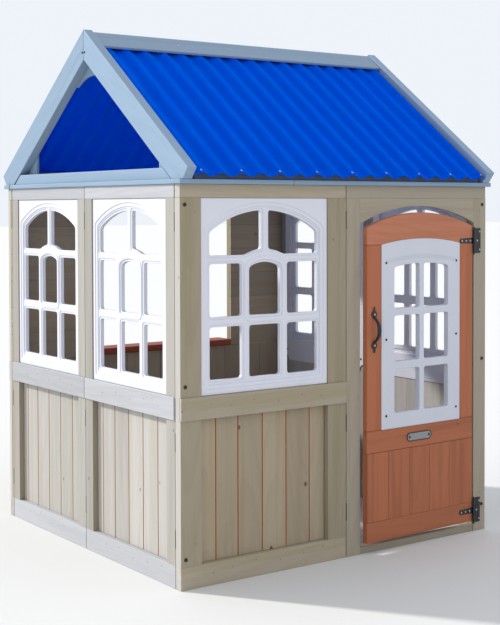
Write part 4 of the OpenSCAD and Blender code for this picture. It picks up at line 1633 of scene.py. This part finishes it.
@dataclass
class Roof:
    """Corrugated sheets on a painted timber frame, with its screws.

    Attributes:
        ridge_z: Height of the ridge.
        eave_z: Height of the rakes' lower corners.
        overhang: How far the rakes reach beyond the walls.
        pitch: Spacing of the sheets' waves.
        wave: Height of the waves.
        depth: How far the sheets' middle lies below the rakes' tops.
        top_gap: How far below the ridge the sheets start.
        foot_over: How far they end beyond the rakes.
        lap_w: Width of the painted shadow lines where the rakes meet the ties.
        cap_screws: Where the cap screws are along the ridge.
        cap_screw_drop: How far they are down the slope.
    """

    ridge_z: float = 1430 * MM
    eave_z: float = 1040 * MM
    overhang: float = 36 * MM
    pitch: float = 60 * MM
    wave: float = 10.5 * MM
    wave_steps: int = 20
    sheet: float = 1.5 * MM
    depth: float = 18 * MM
    top_gap: float = 19 * MM
    foot_over: float = 4 * MM
    rake_t: float = 27 * MM
    rake_w: float = 67 * MM
    lap_w: float = 3.0 * MM
    cap_screws: tuple[float, ...] = (46 * MM, 286 * MM, 466 * MM, 586 * MM, 766 * MM, 1006 * MM)
    cap_screw_drop: float = 42 * MM
    timbers: tuple[str, ...] = ("left_rakes", "left_tie", "left_gussets", "right_rakes", "right_tie",
                                "right_gussets", "ridge_caps", "ridge_beam", "eave_plates", "gable_plates",
                                "eave_battens")

    @property
    def slope(self) -> float:
        """The roof's slope."""
        return math.atan((self.ridge_z - self.eave_z) / (HOUSE_W / 2 + self.overhang))

    @property
    def slope_l(self) -> float:
        """Length of the slope from ridge to rake end."""
        return (HOUSE_W / 2 + self.overhang) / math.cos(self.slope)

    def place(self, depth: float, rear: bool = False) -> Matrix:
        """Matrix from slope coordinates (along the ridge, up the slope, outwards) to the part's own."""
        front = Matrix.Translation((0, 0, self.ridge_z)) @ Matrix.Rotation(self.slope, 4, "X")
        turn = Matrix.Rotation(math.pi if rear else 0.0, 4, "Z")
        return turn @ front @ Matrix.Translation((0, 0, -depth))

    @staticmethod
    def sheet_tree() -> bpy.types.NodeTree:
        """Builds the tree that corrugates a grid and gives it thickness.

        Returns:
            The tree, the same one each time.
        """
        if "Corrugated sheet" in bpy.data.node_groups:
            return bpy.data.node_groups["Corrugated sheet"]
        tree = bpy.data.node_groups.new("Corrugated sheet", "GeometryNodeTree")
        given = open_tree(tree, {"Blank": "Geometry", "Width": "Float", "Length": "Float", "Pitch": "Float",
                                 "Wave": "Float", "Thickness": "Float", "Top Gap": "Float",
                                 "Across": "Int", "Down": "Int"})
        grid = add(tree, "GeometryNodeMeshGrid", {"Size X": given["Width"], "Size Y": given["Length"],
                                                  "Vertices X": given["Across"], "Vertices Y": given["Down"]})
        spot = add(tree, "GeometryNodeInputPosition").outputs[0]
        place = add(tree, "ShaderNodeSeparateXYZ", {0: spot}).outputs
        turns = add(tree, "ShaderNodeMath", {0: place["X"], 1: given["Pitch"]}, operation="DIVIDE")
        angle = add(tree, "ShaderNodeMath", {0: turns.outputs[0], 1: math.tau}, operation="MULTIPLY")
        crest = add(tree, "ShaderNodeMath", {0: angle.outputs[0]}, operation="COSINE")
        half = add(tree, "ShaderNodeMath", {0: given["Wave"], 1: 0.5}, operation="MULTIPLY")
        lift = add(tree, "ShaderNodeMath", {0: crest.outputs[0], 1: half.outputs[0]}, operation="MULTIPLY")
        middle = add(tree, "ShaderNodeMath", {0: given["Length"], 1: -0.5}, operation="MULTIPLY")
        down = add(tree, "ShaderNodeMath", {0: middle.outputs[0], 1: given["Top Gap"]}, operation="SUBTRACT")
        move = add(tree, "ShaderNodeCombineXYZ", {"Y": down.outputs[0], "Z": lift.outputs[0]})
        waved = add(tree, "GeometryNodeSetPosition", {"Geometry": grid.outputs[0], "Offset": move.outputs[0]})
        grown = add(tree, "GeometryNodeExtrudeMesh",
                    {"Mesh": waved.outputs[0], "Individual": False, "Offset": (0, 0, 1),
                     "Offset Scale": given["Thickness"]}, mode="FACES")
        under = add(tree, "GeometryNodeFlipFaces", {"Mesh": waved.outputs[0]})
        both = add(tree, "GeometryNodeJoinGeometry")
        tree.links.new(grown.outputs["Mesh"], both.inputs[0])
        tree.links.new(under.outputs[0], both.inputs[0])
        closed = add(tree, "GeometryNodeMergeByDistance", {"Geometry": both.outputs[0], "Distance": 1e-5})
        end_tree(tree, closed.outputs[0], given["Finish"])
        return tree

    def sheets(self) -> None:
        """Makes the two corrugated sheets."""
        width = HOUSE_L - 2 * (self.rake_t + 0.6 * MM)
        for node, rear in (("roof_sheet_front", False), ("roof_sheet_back", True)):
            blank = bpy.data.meshes.new(node)
            grown = link_object(node + "_blank", blank)
            nodes = grown.modifiers.new("Corrugation", "NODES")
            nodes.node_group = self.sheet_tree()
            set_inputs(nodes, {"Width": width, "Length": self.slope_l - self.top_gap + self.foot_over,
                               "Pitch": self.pitch, "Wave": self.wave, "Thickness": self.sheet,
                               "Top Gap": self.top_gap, "Down": 14, "Finish": ROOF_BLUE.material(),
                               "Across": round(width / self.pitch * self.wave_steps) + 1})
            mesh = plain_mesh(grown, node)
            mesh.transform(self.place(self.depth + self.sheet / 2, rear))
            finish_piece(mesh, node + "_corrugated", ROOF_BLUE.material(), Body.HOUSE,
                         [node], 60.0)

    def screws(self) -> None:
        """Drives the cap screws, the sheet screws and the screws of both gable frames."""
        caps = Fasteners(Head.CROSS_SCREW, ZINC)
        up = Vector((0, 0, 1))
        for rear in (False, True):
            caps.add_on(self.place(4 * MM, rear),
                        [(u - HOUSE_L / 2, -self.cap_screw_drop, 0) for u in self.cap_screws], up)
            crest = self.place(self.depth - self.wave / 2 - self.sheet / 2, rear)
            rows = [(n * 2 * self.pitch, -(self.slope_l - 5 * MM), 0) for n in range(-4, 5)]
            caps.add_on(crest, [spot for spot in rows if abs(spot[0]) < HOUSE_L / 2 - 40 * MM], up)
        caps.make("roof_screws", "zinc_steel", Body.HOUSE, [])
        rakes = Fasteners(Head.CROSS_SCREW, BLACK_IRON)
        for side in (-1, 1):
            for rear in (False, True):
                face = self.place(0, rear)
                lean = side * (-1 if rear else 1)
                rakes.add_on(face, [(lean * HOUSE_L / 2, -43 * MM, -47 * MM)], Vector((lean, 0, 0)))
        rakes.make("rake_screws", "black_iron", Body.HOUSE, [])

    def lap_joints(self) -> None:
        """Lays thin black strips along the joints where the rakes meet the ties: painted shadow, showing as
        fine dark lines.
        """
        parts = []
        below = (self.ridge_z - self.rake_w / math.cos(self.slope)) / math.tan(self.slope)
        for wall, tie in ((Wall.LEFT, "left_tie"), (Wall.RIGHT, "right_tie")):
            low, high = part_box(tie)
            foot, top = ((z, HOUSE_W / 2 - below + z / math.tan(self.slope)) for z in (low[2], high[2]))
            near = [(foot[1], foot[0]), (foot[1] + self.lap_w, foot[0]),
                    (top[1] + self.lap_w, top[0]), (top[1], top[0])]
            far = [(HOUSE_W - u, z) for u, z in reversed(near)]
            for outline in (near, far):
                # Each strip is painted shade: a dark line standing for the shadow in the joint
                parts.append(plate("lap", [outline], (1.1 * MM, 8 * MM), 0.1 * MM, wall.matrix(), 1))
        finish_piece(join_meshes("laps", parts), "rake_lap_joints", BLACK_IRON.material(),
                     Body.HOUSE, [])

    def build(self) -> None:
        """Builds the sheets, the timbers, the painted shadow lines at their joints and their screws."""
        joinery = Joinery(1.5 * MM, 2)
        for node in self.timbers:
            # The eave battens take the dark slate blue of painted shade
            joinery.make(node, "roof_timber", BATTEN_PAINTED_SHADE if node == "eave_battens" else ROOF_PAINT)
        self.sheets()
        self.lap_joints()
        self.screws()


# ---------------------------------------------------------------- house and studio


class Playhouse:
    """The whole house, in the order that it is put up."""

    SIDE_A = (SIDE_START, SIDE_MID - 1 * MM)
    SIDE_B = (SIDE_MID + 1 * MM, HOUSE_W - SIDE_START)
    SIDE_STILE = 40 * MM
    SIDE_JOINTS = (31 * MM, 96 * MM, 169 * MM, 242 * MM, 315 * MM)
    FRONT_STILE = 62 * MM
    FRONT_JOINTS = (113.5 * MM, 181.5 * MM, 258 * MM, 334.5 * MM, 411.5 * MM)
    HATCH = (243 * MM, 809 * MM)
    BACK_FIRST = 48 * MM
    BOLT_U, BOLT_Z = 14 * MM, (76 * MM, 502 * MM, 949 * MM)
    PLUG_U, PLUG_Z = (45 * MM, HOUSE_L - 24 * MM), (112 * MM, 931 * MM)
    SEAM_Z, SEAM_H = (100 * MM, 340 * MM, 884 * MM), 47 * MM

    def walls(self) -> None:
        """Puts up the eight panels with their inserts."""
        front = (0.0, PANEL_MID - 1 * MM)
        WallPanel("front", Wall.FRONT, front, self.FRONT_STILE, 0.0, cuts=self.FRONT_JOINTS).build()
        WindowInsert("front_window", Wall.FRONT, (self.FRONT_STILE, front[1] - self.FRONT_STILE)).build()
        for name, wall, ends in (("left_front", Wall.LEFT, self.SIDE_B),
                                 ("left_rear", Wall.LEFT, self.SIDE_A),
                                 ("right_front", Wall.RIGHT, self.SIDE_A),
                                 ("right_rear", Wall.RIGHT, self.SIDE_B)):
            clear = (ends[0] + self.SIDE_STILE, ends[1] - self.SIDE_STILE)
            cuts = tuple(clear[0] + joint for joint in self.SIDE_JOINTS)
            WallPanel(name, wall, ends, self.SIDE_STILE, 0.0, PALE_RAIL, PALE_FRAME, PALE_BOARD, cuts).build()
            WindowInsert(name + "_window", wall, clear).build()
        low, high = self.HATCH
        edge = 0.4 * MM
        RearPanel("back_right", Wall.BACK, (edge, PANEL_MID - 1 * MM), self.FRONT_STILE, self.BACK_FIRST,
                  beside=(edge, low)).build()
        RearPanel("back_left", Wall.BACK, (PANEL_MID + 1 * MM, HOUSE_L - edge), self.FRONT_STILE,
                  self.BACK_FIRST, beside=(high, HOUSE_L - edge)).build()

    def fittings(self) -> None:
        """Fits the door frame, the counter and the bolts that hold the walls together."""
        joinery = Joinery()
        for node in ("door_frame_stiles", "door_frame_rail", "door_frame_arch", "door_sill",
                     "counter_brackets"):
            joinery.make(node, "frame_timber", JAMB_STAIN)
        Joinery(4 * MM, 4).make("counter", "counter_timber", COUNTER_STAIN)
        bolts = Fasteners(Head.BOLT, BLACK_IRON)
        for wall in (Wall.FRONT, Wall.BACK):
            bolts.add_on(wall.matrix(), [(u, 0, z) for u in (self.BOLT_U, HOUSE_L - self.BOLT_U)
                                         for z in self.BOLT_Z])
        bolts.make("corner_bolts", "black_iron", Body.HOUSE, ["wall_bolts"])
        plugs = Fasteners(Head.PLUG, FRAME_STAIN)
        plugs.add_on(Wall.FRONT.matrix(), [(u, 0, z) for u in self.PLUG_U for z in self.PLUG_Z])
        plugs.make("frame_plugs", "frame_timber", Body.HOUSE, [])

    def seams(self) -> None:
        """Slips the black joining plates into the seams between neighbouring panels, and lays thin black
        strips of painted shade into the corner seams above them.
        """
        parts = []
        corner = SIDE_START - 1 * MM
        sides = (Wall.LEFT, Wall.RIGHT)
        lines = [(Wall.FRONT, PANEL_MID), (Wall.BACK, PANEL_MID)]
        lines += [(wall, u) for wall in sides for u in (corner, SIDE_MID, HOUSE_W - corner)]
        for wall, u in lines:
            # The serving hatch leaves no seam to join at the top of the rear wall
            for z in self.SEAM_Z[:2] if wall is Wall.BACK else self.SEAM_Z:
                strip = rectangle(u - 1.7 * MM, u + 1.7 * MM, z, z + self.SEAM_H, 0.6 * MM)
                parts.append(plate("seam", [strip], (-0.25 * MM, 14 * MM), 0.2 * MM, wall.matrix(), 1))
        # Above the topmost plate the corner seams of the side walls get a thin black strip of painted shade,
        # standing for the shadow in the gap between the panels
        for wall, u in ((wall, u) for wall in sides for u in (corner, HOUSE_W - corner)):
            strip = rectangle(u - 1.1 * MM, u + 1.1 * MM, 936 * MM, 999 * MM, 0.5 * MM)
            parts.append(plate("seam", [strip], (-0.2 * MM, 14 * MM), 0.2 * MM, wall.matrix(), 1))
        finish_piece(join_meshes("seams", parts), "seam_plates", BLACK_IRON.material(),
                     Body.HOUSE, [])

    def build(self) -> None:
        """Builds every piece."""
        self.walls()
        self.fittings()
        self.seams()
        DoorLeaf().build()
        Hinges().build()
        Roof().build()


@dataclass
class Studio:
    """A pale floor, soft light from the gable side and a camera at the near corner."""

    floor_half: float = 60.0
    camera_at: tuple[float, float, float] = (-2.1898, -3.1043, 0.939)
    yaw: float = 35.25
    tilt: float = -1.63
    roll: float = 0.14
    lens: float = 91.7
    shift: Point = (0.0157, -0.1354)

    def floor(self) -> None:
        """Lays the floor."""
        bm = bmesh.new()
        bmesh.ops.create_grid(bm, x_segments=8, y_segments=8, size=self.floor_half)
        mesh = bpy.data.meshes.new("studio_floor")
        bm.to_mesh(mesh)
        bm.free()
        made = bpy.data.materials.new("Pale matt floor")
        made.use_nodes = True
        shader = made.node_tree.nodes["Principled BSDF"]
        shader.inputs["Base Color"].default_value = linear("#D8D8D6")
        shader.inputs["Roughness"].default_value = 0.85
        mesh.materials.append(made)
        link_object("studio_floor", mesh)

    def lights(self) -> None:
        """Sets a broad sky and one large soft key light on the gable side."""
        world = bpy.data.worlds.new("Soft studio")
        world.use_nodes = True
        sky = world.node_tree.nodes["Background"]
        sky.inputs["Color"].default_value = linear("#F1F5FC")
        sky.inputs["Strength"].default_value = 0.98
        bpy.context.scene.world = world
        key = bpy.data.lights.new("Key", "SUN")
        key.energy = 3.3
        key.angle = math.radians(3)
        key.color = (1.0, 0.975, 0.94)
        lamp = link_object("Key", key)
        lamp.rotation_euler = Vector((-0.62, 0.86, 0.62)).to_track_quat("Z", "Y").to_euler()

    def camera(self) -> None:
        """Sets the camera."""
        data = bpy.data.cameras.new("View")
        data.sensor_fit = "HORIZONTAL"
        data.sensor_width = 36
        data.lens = self.lens
        data.shift_x, data.shift_y = self.shift
        made = link_object("View", data)
        made.location = self.camera_at
        made.rotation_euler = (math.radians(90 + self.tilt), math.radians(self.roll), math.radians(-self.yaw))
        bpy.context.scene.camera = made

    def build(self) -> None:
        """Sets up the whole studio."""
        self.floor()
        self.lights()
        self.camera()


def main() -> None:
    """Builds the house and its studio."""
    logging.basicConfig(level=logging.INFO, format="%(name)s %(message)s")
    bpy.context.scene.view_settings.view_transform = "Standard"
    Playhouse().build()
    Studio().build()


if __name__ == "__main__":
    main()
